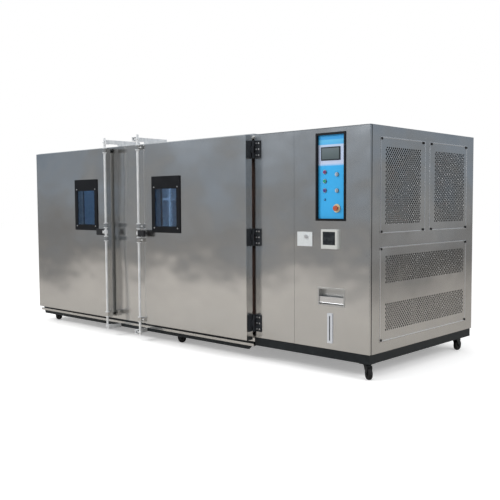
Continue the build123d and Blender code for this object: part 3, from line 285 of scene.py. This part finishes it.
PANEL_WAVE = 0.062
DENT_SHARE = 0.12
BRUSH_DEEP = 0.000004


def brushed_steel(name, light, dark, rough, grain, wave=PANEL_WAVE):
    """Stainless sheet with fine brushed lines, faint handling marks and a slight waviness."""
    steel = Shader(name, metal=1.0)
    lines = steel.noise(grain, detail=2.0, roughness=0.6)
    clouds = steel.noise((1.3, 1.3, 1.7), detail=3.0)
    sheet = steel.noise((1.1, 1.1, 0.8), detail=1.0)
    dents = steel.noise((3.1, 3.1, 3.7), detail=1.0)
    steel.tint(clouds, ((0.3, dark), (0.7, light)))
    steel.span(lines, rough - 0.03, rough + 0.03, "Roughness")
    steel.bump(((sheet, wave), (dents, wave * DENT_SHARE), (lines, BRUSH_DEEP)))
    return steel.material


def dress(finish, *names):
    """Give CAD pieces one finish."""
    for name in names:
        slots = bpy.data.objects[name].data.materials
        slots.clear()
        slots.append(finish)


UP_GRAIN = (900, 900, 6)
LEVEL_GRAIN = (6, 6, 900)
panel_steel = brushed_steel("brushed_panel_steel", (0.65, 0.645, 0.635), (0.58, 0.58, 0.575),
                            0.20, UP_GRAIN)
dress(panel_steel, "chamber_floor", "chamber_roof", "chamber_rear_wall", "chamber_left_wall",
      "chamber_right_wall", "chamber_front_posts", "unit_casing", "unit_front_panel", "service_door",
      "left_door_leaf", "right_door_leaf")

# Black window frames and glass. Each window is a stack of clear panes behind a black moulded frame with a
# tall top band, held by bright screws at the corners of its opening.


def moulded_black(name, colour, rough):
    """Black moulding or powder coat with a fine grain."""
    coat = Shader(name, metal=0.0)
    grain = coat.noise((900, 900, 900), detail=2.0)
    wear = coat.noise((14, 14, 14), detail=4.0)
    darker = tuple(value * 0.75 for value in colour)
    coat.tint(wear, ((0.35, darker), (0.7, colour)))
    coat.span(wear, rough - 0.06, rough + 0.08, "Roughness")
    coat.bump(((grain, 0.00002),))
    coat.surface.inputs["Specular IOR Level"].default_value = 0.2
    return coat.material


PANE_MIRROR = 0.04


def window_glass():
    """Clear, faintly blue pane that mirrors a little."""
    pane = bpy.data.materials.new("window_pane")
    pane.use_nodes = True
    nodes = pane.node_tree.nodes
    links = pane.node_tree.links
    nodes.clear()
    clear = nodes.new("ShaderNodeBsdfTransparent")
    haze = nodes.new("ShaderNodeTexNoise")
    haze.inputs["Scale"].default_value = 9.0
    tone = ramp(nodes, ((0.3, (0.86, 0.90, 0.94)), (0.7, (0.91, 0.94, 0.97))))
    links.new(haze.outputs["Fac"], tone.inputs[0])
    links.new(tone.outputs["Color"], clear.inputs["Color"])
    mirror = nodes.new("ShaderNodeBsdfGlossy")
    mirror.inputs["Roughness"].default_value = 0.03
    mix = nodes.new("ShaderNodeMixShader")
    mix.inputs[0].default_value = PANE_MIRROR
    links.new(clear.outputs[0], mix.inputs[1])
    links.new(mirror.outputs[0], mix.inputs[2])
    output = nodes.new("ShaderNodeOutputMaterial")
    links.new(mix.outputs[0], output.inputs["Surface"])
    return pane


def new_piece(name, bm, finish, body):
    """Put a made mesh into the scene with its finish, and ride it on its body."""
    mesh = bpy.data.meshes.new(name)
    bmesh.ops.recalc_face_normals(bm, faces=bm.faces)
    bm.to_mesh(mesh)
    bm.free()
    mesh.materials.append(finish)
    piece = bpy.data.objects.new(name, mesh)
    bpy.context.scene.collection.objects.link(piece)
    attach(piece, body)
    return piece


def join_rings(bm, rings):
    """Skin the space between each ring of corners and the next."""
    for near, far in zip(rings, rings[1:]):
        for step in range(len(near)):
            after = (step + 1) % len(near)
            bm.faces.new((near[step], near[after], far[after], far[step]))


def close_ends(bm, rings):
    """Shut the first and the last ring with a flat face."""
    bm.faces.new(list(reversed(rings[0])))
    bm.faces.new(rings[-1])


def turned(bm, centre, axis, profile, steps=20):
    """Turn a profile of pairs of radius and distance along an axis, closed at both ends."""
    place = Matrix.Translation(centre) @ Vector(axis).to_track_quat("Z", "Y").to_matrix().to_4x4()
    rings = [[bm.verts.new(place @ Vector((radius * math.cos(math.tau * step / steps),
                                           radius * math.sin(math.tau * step / steps), along)))
              for step in range(steps)] for radius, along in profile]
    join_rings(bm, rings)
    close_ends(bm, rings)


black_frame = moulded_black("window_frame_black", (0.0035, 0.004, 0.006), 0.42)
pane_glass = window_glass()
bright_steel = brushed_steel("bright_satin_steel", (0.80, 0.80, 0.80), (0.72, 0.72, 0.73),
                             0.30, (160, 160, 160), wave=0.0)

TOWARDS_FRONT = (0, -1, 0)
front_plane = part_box("chamber_front_posts")[0][1]
SCREW_R = 0.006
SCREW_HEAD = ((SCREW_R, 0.0), (SCREW_R, 0.0015), (SCREW_R * 0.7, 0.003), (SCREW_R * 0.3, 0.0034))
SCREW_FROM_GLASS = 0.008
for side in ("left", "right"):
    dress(black_frame, f"{side}_window_frame")
    dress(pane_glass, f"{side}_window_glass")
    glass_low, glass_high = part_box(f"{side}_window_glass")
    frame_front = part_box(f"{side}_window_frame")[0][1]
    bm = bmesh.new()
    for x in (glass_low[0] - SCREW_FROM_GLASS, glass_high[0] + SCREW_FROM_GLASS):
        for z in (glass_low[2] - SCREW_FROM_GLASS, glass_high[2] + SCREW_FROM_GLASS):
            turned(bm, (x, frame_front, z), TOWARDS_FRONT, SCREW_HEAD)
    new_piece(f"{side}_window_screws", bm, bright_steel, f"{side}_door")

# Door seals. A soft silicone section is pressed into a groove round each doorway and is squeezed when the
# leaf shuts. It is grey, and reddish brown along the edge next to the machine unit.
seal = Shader("silicone_seal", rough=0.62)
unit_side_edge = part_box("right_door_leaf")[1][0]
BROWN_FROM_EDGE = (0.12, 0.04)
place_along = seal.nodes.new("ShaderNodeSeparateXYZ")
seal.links.new(seal.coord.outputs["Object"], place_along.inputs[0])
near_unit = seal.nodes.new("ShaderNodeMapRange")
near_unit.inputs["From Min"].default_value = unit_side_edge - BROWN_FROM_EDGE[0]
near_unit.inputs["From Max"].default_value = unit_side_edge - BROWN_FROM_EDGE[1]
seal.links.new(place_along.outputs["X"], near_unit.inputs["Value"])
seal.tint(near_unit.outputs[0], ((0.0, (0.46, 0.46, 0.45)), (1.0, (0.30, 0.13, 0.09))))
seal.bump(((seal.noise((60, 60, 60), detail=3.0), 0.0004),))
dress(seal.material, "door_gaskets")

# Door hinges. Cast zinc leaves, powder coated black, bolted to the posts and to the door edges, with
# bright steel pins whose ends show above and below the knuckles.
hinge_black = moulded_black("hinge_powder_coat", (0.030, 0.034, 0.040), 0.42)
dress(hinge_black, "hinge_frame_leaves", "left_hinge_leaves", "right_hinge_leaves")
BOLT_HEAD = ((0.007, 0.0), (0.007, 0.0025), (0.0055, 0.004), (0.002, 0.0042))
HINGE_MIDDLES = (0.335, 1.098, 1.868)
HINGE_BOLTS_OUT = (0.040, 0.070)
HINGE_BOLTS_RISE = (-0.052, 0.0, 0.052)
LEAF_THICK = 0.008
bm = bmesh.new()
for door_edge, away in ((unit_side_edge, 1), (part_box("left_door_leaf")[0][0], -1)):
    for middle in HINGE_MIDDLES:
        for out in HINGE_BOLTS_OUT:
            for rise in HINGE_BOLTS_RISE:
                turned(bm, (door_edge + away * out, front_plane - LEAF_THICK, middle + rise),
                       TOWARDS_FRONT, BOLT_HEAD, steps=12)
new_piece("hinge_bolts", bm, bright_steel, "chamber")

# Lock rods. Zinc-bright bars turned by a moulded lever grip; the cams at both ends sit in steel jaws on the
# roof and under the sill. Each guide on the leaf has a collar above and below it and two hexagon bolts.
rod_steel = Shader("rod_zinc", metal=0.35)
rod_wear = rod_steel.noise((40, 40, 14), detail=3.0)
rod_steel.tint(rod_wear, ((0.35, (0.72, 0.74, 0.76)), (0.7, (0.86, 0.87, 0.88))))
rod_steel.span(rod_wear, 0.34, 0.46, "Roughness")
dress(rod_steel.material, "left_lock_rod", "right_lock_rod", "lock_keepers")
grip_black = moulded_black("lever_grip_black", (0.020, 0.021, 0.024), 0.45)
dress(grip_black, "left_lever_grip", "right_lever_grip")
ROD_FROM_FRONT = 0.030
ROD_FROM_LEAF_EDGE = 0.021
rod_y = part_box("left_lock_rod")[0][1] + ROD_FROM_FRONT
GUIDE_MIDDLES = (0.226, 1.034, 1.174, 1.962)
COLLAR_BELOW, COLLAR_ABOVE = -0.0272, 0.0202
COLLAR_STEPS = 24
COLLAR = ((0.0215, 0.0), (0.0225, 0.001), (0.0225, 0.006), (0.0215, 0.007),
          (0.0135, 0.007), (0.0128, 0.006), (0.0128, 0.001), (0.0135, 0.0))
GUIDE_BOLTS_FROM_ROD = (0.030, 0.042)
GUIDE_FACE_BEHIND_ROD = 0.010
for side, rod_x, inward in (("left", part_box("left_door_leaf")[1][0] - ROD_FROM_LEAF_EDGE, -1),
                            ("right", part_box("right_door_leaf")[0][0] + ROD_FROM_LEAF_EDGE, 1)):
    bm = bmesh.new()
    for guide_z in GUIDE_MIDDLES:
        for low in (guide_z + COLLAR_BELOW, guide_z + COLLAR_ABOVE):
            rings = [[bm.verts.new((rod_x + radius * math.cos(math.tau * step / COLLAR_STEPS),
                                    rod_y + radius * math.sin(math.tau * step / COLLAR_STEPS), low + up))
                      for step in range(COLLAR_STEPS)] for radius, up in COLLAR]
            join_rings(bm, rings + rings[:1])
        for reach in GUIDE_BOLTS_FROM_ROD:
            turned(bm, (rod_x + inward * reach, rod_y + GUIDE_FACE_BEHIND_ROD, guide_z),
                   TOWARDS_FRONT, BOLT_HEAD, steps=6)
    new_piece(f"{side}_rod_collars", bm, rod_steel.material, f"{side}_door")

# Base beams and casters. Welded square tube under both bodies, painted black, on bolted plates with
# swivelling forks at the front and fixed forks at the rear, and solid black wheels.
beam_black = moulded_black("beam_paint", (0.016, 0.020, 0.023), 0.42)
dress(beam_black, "chamber_base_frame", "unit_base_frame", "unit_frame")
fork_black = moulded_black("fork_paint", (0.022, 0.024, 0.027), 0.36)
wheel_black = moulded_black("wheel_rubber", (0.016, 0.016, 0.017), 0.55)
for place in ("left", "middle", "right"):
    dress(fork_black, f"front_{place}_caster_fork")
    dress(wheel_black, f"front_{place}_caster_wheel", f"rear_{place}_caster_wheel")

# Side panels of the machine unit. Thin stainless sheet with folded rims and staggered round perforations
# over the condenser and the compressors. Black knobs at the corners screw each panel to the frame.
PERFORATION_R = 0.0092
HOLE_CORNERS = 8
ROW_STEP = 0.017
HOLE_STEP = 0.030
SHEET_THICK = 0.0011
RIM_WIDE = 0.009
RIM_PROUD = 0.003
unit_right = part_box("unit_casing")[1][0]
# Each panel's near, far, low and high edge, then those of its perforated areas, in metres from the front.
PANELS = (
    ((0.140, 0.832, 1.152, 1.913), ((0.208, 0.758, 1.225, 1.844),)),
    ((0.902, 1.586, 1.152, 1.913), ((0.988, 1.532, 1.225, 1.844),)),
    ((0.139, 1.587, 0.289, 1.045), ((0.215, 1.530, 0.752, 0.971), (0.215, 1.530, 0.370, 0.597))),
)


def closed_outline(curve, points):
    """One closed outline of a flat sheet."""
    spline = curve.splines.new("POLY")
    spline.points.add(len(points) - 1)
    for target, (across, up) in zip(spline.points, points):
        target.co = (across, up, 0, 1)
    spline.use_cyclic_u = True


def hole_centres(area):
    """Staggered rows of hole centres inside an area of the sheet."""
    near, far, low, high = area
    rows = round((high - low) / ROW_STEP)
    columns = round((far - near) / HOLE_STEP)
    for row in range(rows):
        shift = HOLE_STEP / 2 if row % 2 else 0.0
        for column in range(columns):
            yield near + HOLE_STEP / 2 + column * HOLE_STEP + shift, low + ROW_STEP * (row + 0.5)


def perforated_sheet(outline, areas):
    """Flat sheet with round holes, cut from one filled outline and stood up in the side plane."""
    near, far, low, high = outline
    curve = bpy.data.curves.new("sheet_outline", "CURVE")
    curve.dimensions = "2D"
    curve.fill_mode = "BOTH"
    curve.extrude = SHEET_THICK / 2
    closed_outline(curve, ((near, low), (far, low), (far, high), (near, high)))
    for area in areas:
        for across, up in hole_centres(area):
            closed_outline(curve, [(across + PERFORATION_R * math.cos(math.tau * corner / HOLE_CORNERS),
                                    up + PERFORATION_R * math.sin(math.tau * corner / HOLE_CORNERS))
                                   for corner in range(HOLE_CORNERS)])
    holder = bpy.data.objects.new("sheet_outline", curve)
    bpy.context.scene.collection.objects.link(holder)
    sheet = bpy.data.meshes.new_from_object(holder.evaluated_get(bpy.context.evaluated_depsgraph_get()))
    bpy.data.objects.remove(holder)
    bpy.data.curves.remove(curve)
    sheet.transform(Matrix(((0, 0, 1, unit_right - SHEET_THICK / 2), (1, 0, 0, front_plane),
                            (0, 1, 0, 0), (0, 0, 0, 1))))
    return sheet


def fold(bm, deep, height):
    """One folded strip of a panel's rim, rounded towards the outside."""
    rings = []
    for out, shrink in ((0.0, 0.0), (RIM_PROUD * 0.5, 0.0), (RIM_PROUD, RIM_PROUD * 0.5)):
        x = unit_right + out
        rings.append([bm.verts.new((x, front_plane + deep_at, up)) for deep_at, up in
                      ((deep[0] + shrink, height[0] + shrink), (deep[1] - shrink, height[0] + shrink),
                       (deep[1] - shrink, height[1] - shrink), (deep[0] + shrink, height[1] - shrink))])
    join_rings(bm, rings)
    close_ends(bm, rings)


bm = bmesh.new()
for outline, areas in PANELS:
    sheet = perforated_sheet(outline, areas)
    bm.from_mesh(sheet)
    bpy.data.meshes.remove(sheet)
bmesh.ops.remove_doubles(bm, verts=bm.verts, dist=0.00001)
panels = new_piece("perforated_side_panels", bm, panel_steel, "chamber")
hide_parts("mesh_panels")

bm = bmesh.new()
for (near, far, low, high), areas in PANELS:
    for height in ((low, low + RIM_WIDE), (high - RIM_WIDE, high)):
        fold(bm, (near, far), height)
    for deep in ((near, near + RIM_WIDE), (far - RIM_WIDE, far)):
        fold(bm, deep, (low + RIM_WIDE, high - RIM_WIDE))
# Painted highlight: the folded rims take the brighter satin steel instead of the panels' own steel, so each
# panel's edge reads as a light line.
new_piece("panel_folded_rims", bm, bright_steel, "chamber")

knob_black = moulded_black("knob_black", (0.018, 0.018, 0.02), 0.4)
KNOB = ((0.011, 0.0), (0.011, 0.006), (0.0095, 0.0085), (0.004, 0.0095))
KNOBS_BY_PANEL = (((0.156, 0.798), (1.897, 1.167)), ((0.935, 1.572), (1.897, 1.167)),
                  ((0.154, 1.575), (1.030, 0.303)))
bm = bmesh.new()
for knobs_deep, knobs_up in KNOBS_BY_PANEL:
    for deep in knobs_deep:
        for up in knobs_up:
            turned(bm, (unit_right, front_plane + deep, up), (1, 0, 0), KNOB, steps=16)
knobs = new_piece("panel_thumb_screws", bm, knob_black, "chamber")
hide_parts("panel_knobs")

# Control panel. A black frame let into the service door carries a printed blue front with the touch screen,
# coloured push buttons, two selectors and the emergency stop on its cream ring. The front is screwed from
# behind.


def along_height(shader, low, high, stops):
    """Colour by height between two levels."""
    split = shader.nodes.new("ShaderNodeSeparateXYZ")
    shader.links.new(shader.coord.outputs["Object"], split.inputs[0])
    level = shader.nodes.new("ShaderNodeMapRange")
    level.inputs["From Min"].default_value = low
    level.inputs["From Max"].default_value = high
    shader.links.new(split.outputs["Z"], level.inputs["Value"])
    shader.tint(level.outputs[0], stops)


fascia_low, fascia_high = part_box("control_fascia")
fascia = Shader("printed_blue_front", rough=0.35)
along_height(fascia, fascia_low[2], fascia_high[2],
             ((0.0, (0.05, 0.46, 0.93)), (0.63, (0.045, 0.48, 0.97)), (0.64, (0.32, 0.62, 1.0)),
              (0.66, (0.62, 0.72, 0.97)), (0.88, (0.60, 0.74, 0.98)), (0.89, (0.10, 0.52, 0.96)),
              (0.94, (0.14, 0.60, 0.98)), (0.95, (0.05, 0.42, 0.93)), (1.0, (0.05, 0.45, 0.93))))
fascia.surface.inputs["Specular IOR Level"].default_value = 0.3
fascia.bump(((fascia.noise((700, 700, 700)), 0.00004),))
dress(fascia.material, "control_fascia")
dress(black_frame, "control_frame")


def gloss_cap(name, colour):
    """Moulded gloss plastic with faint mottling, for caps and lenses."""
    cap = Shader(name, rough=0.25)
    darker = tuple(value * 0.93 for value in colour)
    cap.tint(cap.noise((60, 60, 60)), ((0.35, darker), (0.7, colour)))
    return cap.material


dress(gloss_cap("screen_black", (0.02, 0.025, 0.03)), "touch_screen")
dress(gloss_cap("cap_plum", (0.24, 0.04, 0.20)), "start_button")
dress(gloss_cap("cap_green", (0.01, 0.40, 0.24)), "stop_button")
dress(gloss_cap("cap_violet", (0.07, 0.05, 0.30)), "light_button")
dress(gloss_cap("selector_grey", (0.50, 0.58, 0.68)), "upper_selector", "lower_selector")
dress(gloss_cap("stop_red", (0.55, 0.11, 0.05)), "emergency_stop")


def in_unit(across, deep, height):
    """A place on the machine unit from millimetres across, deep and up."""
    return Vector((unit_right - across / 1000, front_plane + deep / 1000, height / 1000))


CORNER_STEPS = 4


def plate(bm, across, deep, height, corner):
    """Flat plate with rounded corners, facing the front, from millimetres."""
    low = in_unit(across[1], deep[0], height[0])
    high = in_unit(across[0], deep[1], height[1])
    left, right = low.x + corner, high.x - corner
    bottom, top = low.z + corner, high.z - corner
    outline = []
    for quarter, (centre_x, centre_z) in enumerate(((right, top), (left, top), (left, bottom),
                                                    (right, bottom))):
        for step in range(CORNER_STEPS + 1):
            turn = math.radians(90 * quarter + 90 / CORNER_STEPS * step)
            outline.append((centre_x + corner * math.cos(turn), centre_z + corner * math.sin(turn)))
    inset = min(corner, (high.y - low.y)) * 0.5
    middle_x, middle_z = (low.x + high.x) / 2, (low.z + high.z) / 2
    half_x, half_z = (high.x - low.x) / 2, (high.z - low.z) / 2
    rings = []
    for y, shrink in ((high.y, 0.0), (low.y + inset, 0.0), (low.y, inset)):
        rings.append([bm.verts.new((middle_x + (x - middle_x) * (1 - shrink / half_x), y,
                                    middle_z + (z - middle_z) * (1 - shrink / half_z)))
                      for x, z in outline])
    join_rings(bm, rings)
    close_ends(bm, rings)


RING_STEPS = 32


def ring(bm, centre, inner, outer, thick):
    """Flat ring that faces the front, with a rounded outer lip."""
    section = ((inner, 0.0), (outer, 0.0), (outer, thick * 0.6), (outer - thick * 0.4, thick),
               (inner + thick * 0.3, thick), (inner, thick * 0.7))
    loops = [[bm.verts.new(centre + Vector((radius * math.cos(math.tau * step / RING_STEPS), -out,
                                            radius * math.sin(math.tau * step / RING_STEPS))))
              for step in range(RING_STEPS)] for radius, out in section]
    join_rings(bm, loops + loops[:1])


DISPLAY_UP = (1747, 1837)
bm = bmesh.new()
plate(bm, across=(302, 474), deep=(7.4, 8), height=DISPLAY_UP, corner=0.002)
display = Shader("screen_display", rough=0.22)
along_height(display, DISPLAY_UP[0] / 1000, DISPLAY_UP[1] / 1000,
             ((0.0, (0.10, 0.13, 0.14)), (0.5, (0.13, 0.17, 0.18)), (1.0, (0.16, 0.20, 0.22))))
new_piece("screen_display", bm, display.material, "service_door")

FRONT_DEEP = 8
CAPS = ((445, 1646), (445, 1572), (445, 1497), (325, 1624), (325, 1495))
bm = bmesh.new()
for across, height in CAPS:
    ring(bm, in_unit(across, FRONT_DEEP, height), inner=0.0139, outer=0.0172, thick=0.0012)
new_piece("button_bezels", bm, bright_steel, "service_door")

STOP_AT = (325, 10, 1353)
bm = bmesh.new()
ring(bm, in_unit(*STOP_AT), inner=0.0145, outer=0.0345, thick=0.0016)
stop_cream = gloss_cap("stop_ring_cream", (0.80, 0.70, 0.45))
new_piece("stop_ring", bm, stop_cream, "service_door")

LENS_AT = (445, 9, 1423)
LENS = ((0.0085, 0.0), (0.0085, 0.001), (0.006, 0.003), (0.002, 0.004))
bm = bmesh.new()
turned(bm, in_unit(*LENS_AT), TOWARDS_FRONT, LENS)
new_piece("indicator_lens", bm, gloss_cap("lens_blue", (0.04, 0.22, 0.55)), "service_door")

# Recorder and lock plate. The paperless recorder is clamped into the door and has a pale case with a dark
# screen; the lock has a bright plate behind its steel knob.
dress(gloss_cap("recorder_case", (0.66, 0.68, 0.66)), "recorder")
dress(bright_steel, "door_latch")
bm = bmesh.new()
plate(bm, across=(317, 441), deep=(-20.8, -20), height=(1057, 1163), corner=0.002)
recorder_glass = Shader("recorder_glass", rough=0.18)
recorder_glass.tint(recorder_glass.noise((26, 26, 40), detail=1.0),
                    ((0.4, (0.012, 0.016, 0.020)), (0.7, (0.035, 0.042, 0.045))))
new_piece("recorder_display", bm, recorder_glass.material, "service_door")
bm = bmesh.new()
plate(bm, across=(562, 721), deep=(-4.4, -4), height=(1039, 1158), corner=0.005)
new_piece("latch_plate_face", bm, gloss_cap("plate_white_metal", (0.74, 0.78, 0.80)), "service_door")

# Hatch and level gauge. The filling hatch is pressed from bright sheet with a finger flap, and the gauge is
# a pale housing with a dark sight tube in its slot.
dress(gloss_cap("gauge_case", (0.66, 0.69, 0.74)), "level_gauge")
dress(bright_steel, "hatch_flap")
dress(brushed_steel("hatch_sheet", (0.60, 0.60, 0.59), (0.54, 0.54, 0.53), 0.36, LEVEL_GRAIN, 0.0),
      "hatch_surround")
TUBE_FOOT = (381.5, -5, 278)
TUBE_R, TUBE_LONG = 0.0046, 0.2
bm = bmesh.new()
turned(bm, in_unit(*TUBE_FOOT), (0, 0, 1), ((TUBE_R, 0.0), (TUBE_R, TUBE_LONG)), steps=12)
new_piece("gauge_tube", bm, gloss_cap("sight_tube", (0.03, 0.035, 0.05)), "service_door")

# Inside the chamber and the unit. A plain steel baffle, zinc-bright racks, pressed fans, finned coils with
# copper bends, black painted compressors and a pale moulded tank.
lining = brushed_steel("lining_steel", (0.70, 0.73, 0.76), (0.62, 0.65, 0.68), 0.45, LEVEL_GRAIN, 0.0)
dress(lining, "air_baffle")
rack_steel = Shader("rack_steel", metal=0.2)
rack_steel.tint(rack_steel.noise((60, 60, 12)), ((0.35, (0.78, 0.81, 0.83)), (0.7, (0.88, 0.90, 0.91))))
rack_steel.span(rack_steel.noise((25, 25, 25)), 0.32, 0.42, "Roughness")
dress(rack_steel.material, "sample_racks")
fan_metal = brushed_steel("fan_aluminium", (0.72, 0.73, 0.74), (0.6, 0.61, 0.62), 0.4, (60, 60, 60))
dress(fan_metal, "circulation_fan", "condenser_fan")
coil_shade_and_copper = Shader("coil_copper_and_painted_shade", rough=0.6)
coil_shade_and_copper.surface.inputs["Specular IOR Level"].default_value = 0.15
# Painted shade: the fin packs are tinted near black for the shade between and behind the fins, with random
# copper-brown patches.
coil_shade_and_copper.tint(coil_shade_and_copper.noise((5, 9, 22), detail=4.0),
          ((0.40, (0.010, 0.014, 0.015)), (0.52, (0.03, 0.035, 0.033)), (0.62, (0.09, 0.04, 0.028)),
           (0.75, (0.20, 0.09, 0.055))))
dress(coil_shade_and_copper.material, "air_handler", "condenser")
dress(moulded_black("compressor_paint", (0.012, 0.020, 0.019), 0.35), "compressors")
dress(gloss_cap("tank_white", (0.30, 0.36, 0.34)), "water_tank")

# Machine bay shade. Near-black sheets with a fine rough face line the inside of the unit's covers, and one
# more lies under the machinery. Their near-black colour is painted shade for the dark bay inside the
# covers.
bay_shade = Shader("bay_painted_shade", rough=0.9)
bay_shade.surface.inputs["Specular IOR Level"].default_value = 0.05
# Painted shade: these sheets are tinted near black, with random mottling.
bay_shade.tint(bay_shade.noise((40, 40, 40), detail=4.0),
          ((0.35, (0.006, 0.009, 0.009)), (0.7, (0.020, 0.027, 0.026))))
bay_shade.bump(((bay_shade.noise((220, 220, 220), detail=2.0), 0.001),))


def sheet_between(bm, low, high):
    """One flat closed sheet between two corners."""
    rings = [[bm.verts.new((x, y, z)) for x, y in ((low[0], low[1]), (high[0], low[1]),
                                                   (high[0], high[1]), (low[0], high[1]))]
             for z in (low[2], high[2])]
    join_rings(bm, rings)
    close_ends(bm, rings)


SHADE_SHEET_THICK = 0.012
SHADE_SHEET_IN = 0.046
SHADE_SHEET_ABOVE_BOTTOM = 0.004
BOTTOM_SHEET_UNDER = (0.002, 0.0005)
bay_low, bay_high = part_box("unit_casing")
bay_left, bay_right = bay_low[0] + SHADE_SHEET_IN, bay_high[0] - SHADE_SHEET_IN
bay_front, bay_back = bay_low[1] + SHADE_SHEET_IN, bay_high[1] - SHADE_SHEET_IN
bay_floor, bay_top = bay_low[2] + SHADE_SHEET_ABOVE_BOTTOM, bay_high[2] - SHADE_SHEET_IN
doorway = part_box("unit_front_panel")[1][0] - SHADE_SHEET_IN
bm = bmesh.new()
sheet_between(bm, (bay_left, bay_front, bay_floor), (bay_left + SHADE_SHEET_THICK, bay_back, bay_top))
sheet_between(bm, (bay_left + SHADE_SHEET_THICK, bay_front, bay_floor), (doorway, bay_front + SHADE_SHEET_THICK, bay_top))
sheet_between(bm, (bay_left + SHADE_SHEET_THICK, bay_back - SHADE_SHEET_THICK, bay_floor), (bay_right, bay_back, bay_top))
sheet_between(bm, (bay_left + SHADE_SHEET_THICK, bay_front + SHADE_SHEET_THICK, bay_top - SHADE_SHEET_THICK),
              (bay_right, bay_back - SHADE_SHEET_THICK, bay_top))
sheet_between(bm, (bay_left, bay_front, bay_low[2] - BOTTOM_SHEET_UNDER[0]),
              (bay_right, bay_back, bay_low[2] - BOTTOM_SHEET_UNDER[1]))
new_piece("bay_painted_shade_sheets", bm, bay_shade.material, "chamber")

# Chamber lining. Thin dull-faced stainless sheets are riveted over the insulation on the side walls, the
# floor and the ceiling, up to the baffle, and they spread the lamps' light.
LINER_FACE = 0.0008
LINER_BACK = 0.0002
LINER_FROM_CORNER = 0.002
LINER_FROM_BAFFLE = 0.001
left_face, front_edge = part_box("chamber_left_wall")[1][0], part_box("chamber_left_wall")[0][1]
right_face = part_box("chamber_right_wall")[0][0]
floor_face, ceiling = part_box("chamber_floor")[1][2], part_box("chamber_roof")[0][2]
back_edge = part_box("air_baffle")[0][1] - LINER_FROM_BAFFLE
side_low, side_high = floor_face + LINER_FROM_CORNER, ceiling - LINER_FROM_CORNER
level_left, level_right = left_face + LINER_FROM_CORNER, right_face - LINER_FROM_CORNER
liner = brushed_steel("dull_lining", (0.26, 0.36, 0.44), (0.20, 0.30, 0.38), 0.55, LEVEL_GRAIN, wave=0.0)
liner.node_tree.nodes["Principled BSDF"].inputs["Metallic"].default_value = 0.45
bm = bmesh.new()
sheet_between(bm, (left_face + LINER_BACK, front_edge, side_low),
              (left_face + LINER_FACE, back_edge, side_high))
sheet_between(bm, (right_face - LINER_FACE, front_edge, side_low),
              (right_face - LINER_BACK, back_edge, side_high))
sheet_between(bm, (level_left, front_edge, floor_face + LINER_BACK),
              (level_right, back_edge, floor_face + LINER_FACE))
sheet_between(bm, (level_left, front_edge, ceiling - LINER_FACE),
              (level_right, back_edge, ceiling - LINER_BACK))
new_piece("chamber_lining", bm, liner, "chamber")

# Chamber lamps. Four round sealed lamps with bowed glass covers are screwed to the chamber's ceiling and
# light what stands behind the windows.
LAMP_DEEP = 420
LAMP_TALL = 30
LAMPS_ACROSS = (2050, 2550, 3450, 3900)
LAMP_COVER = ((0.060, 0.0), (0.095, 0.012), (0.105, 0.022), (0.105, 0.03))
cover = Shader("lamp_cover_lit", rough=0.5)
frosting = cover.noise((30, 30, 30))
cover.tint(frosting, ((0.3, (0.87, 0.91, 1.0)), (0.7, (0.93, 0.95, 1.0))))
cover.tint(frosting, ((0.3, (0.54, 0.745, 1.0)), (0.7, (0.56, 0.755, 1.0))), "Emission Color")
cover.surface.inputs["Emission Strength"].default_value = 34.0
bm = bmesh.new()
for across in LAMPS_ACROSS:
    turned(bm, in_unit(across, LAMP_DEEP, ceiling * 1000 - LAMP_TALL), (0, 0, 1), LAMP_COVER)
new_piece("chamber_lamps", bm, cover.material, "chamber")
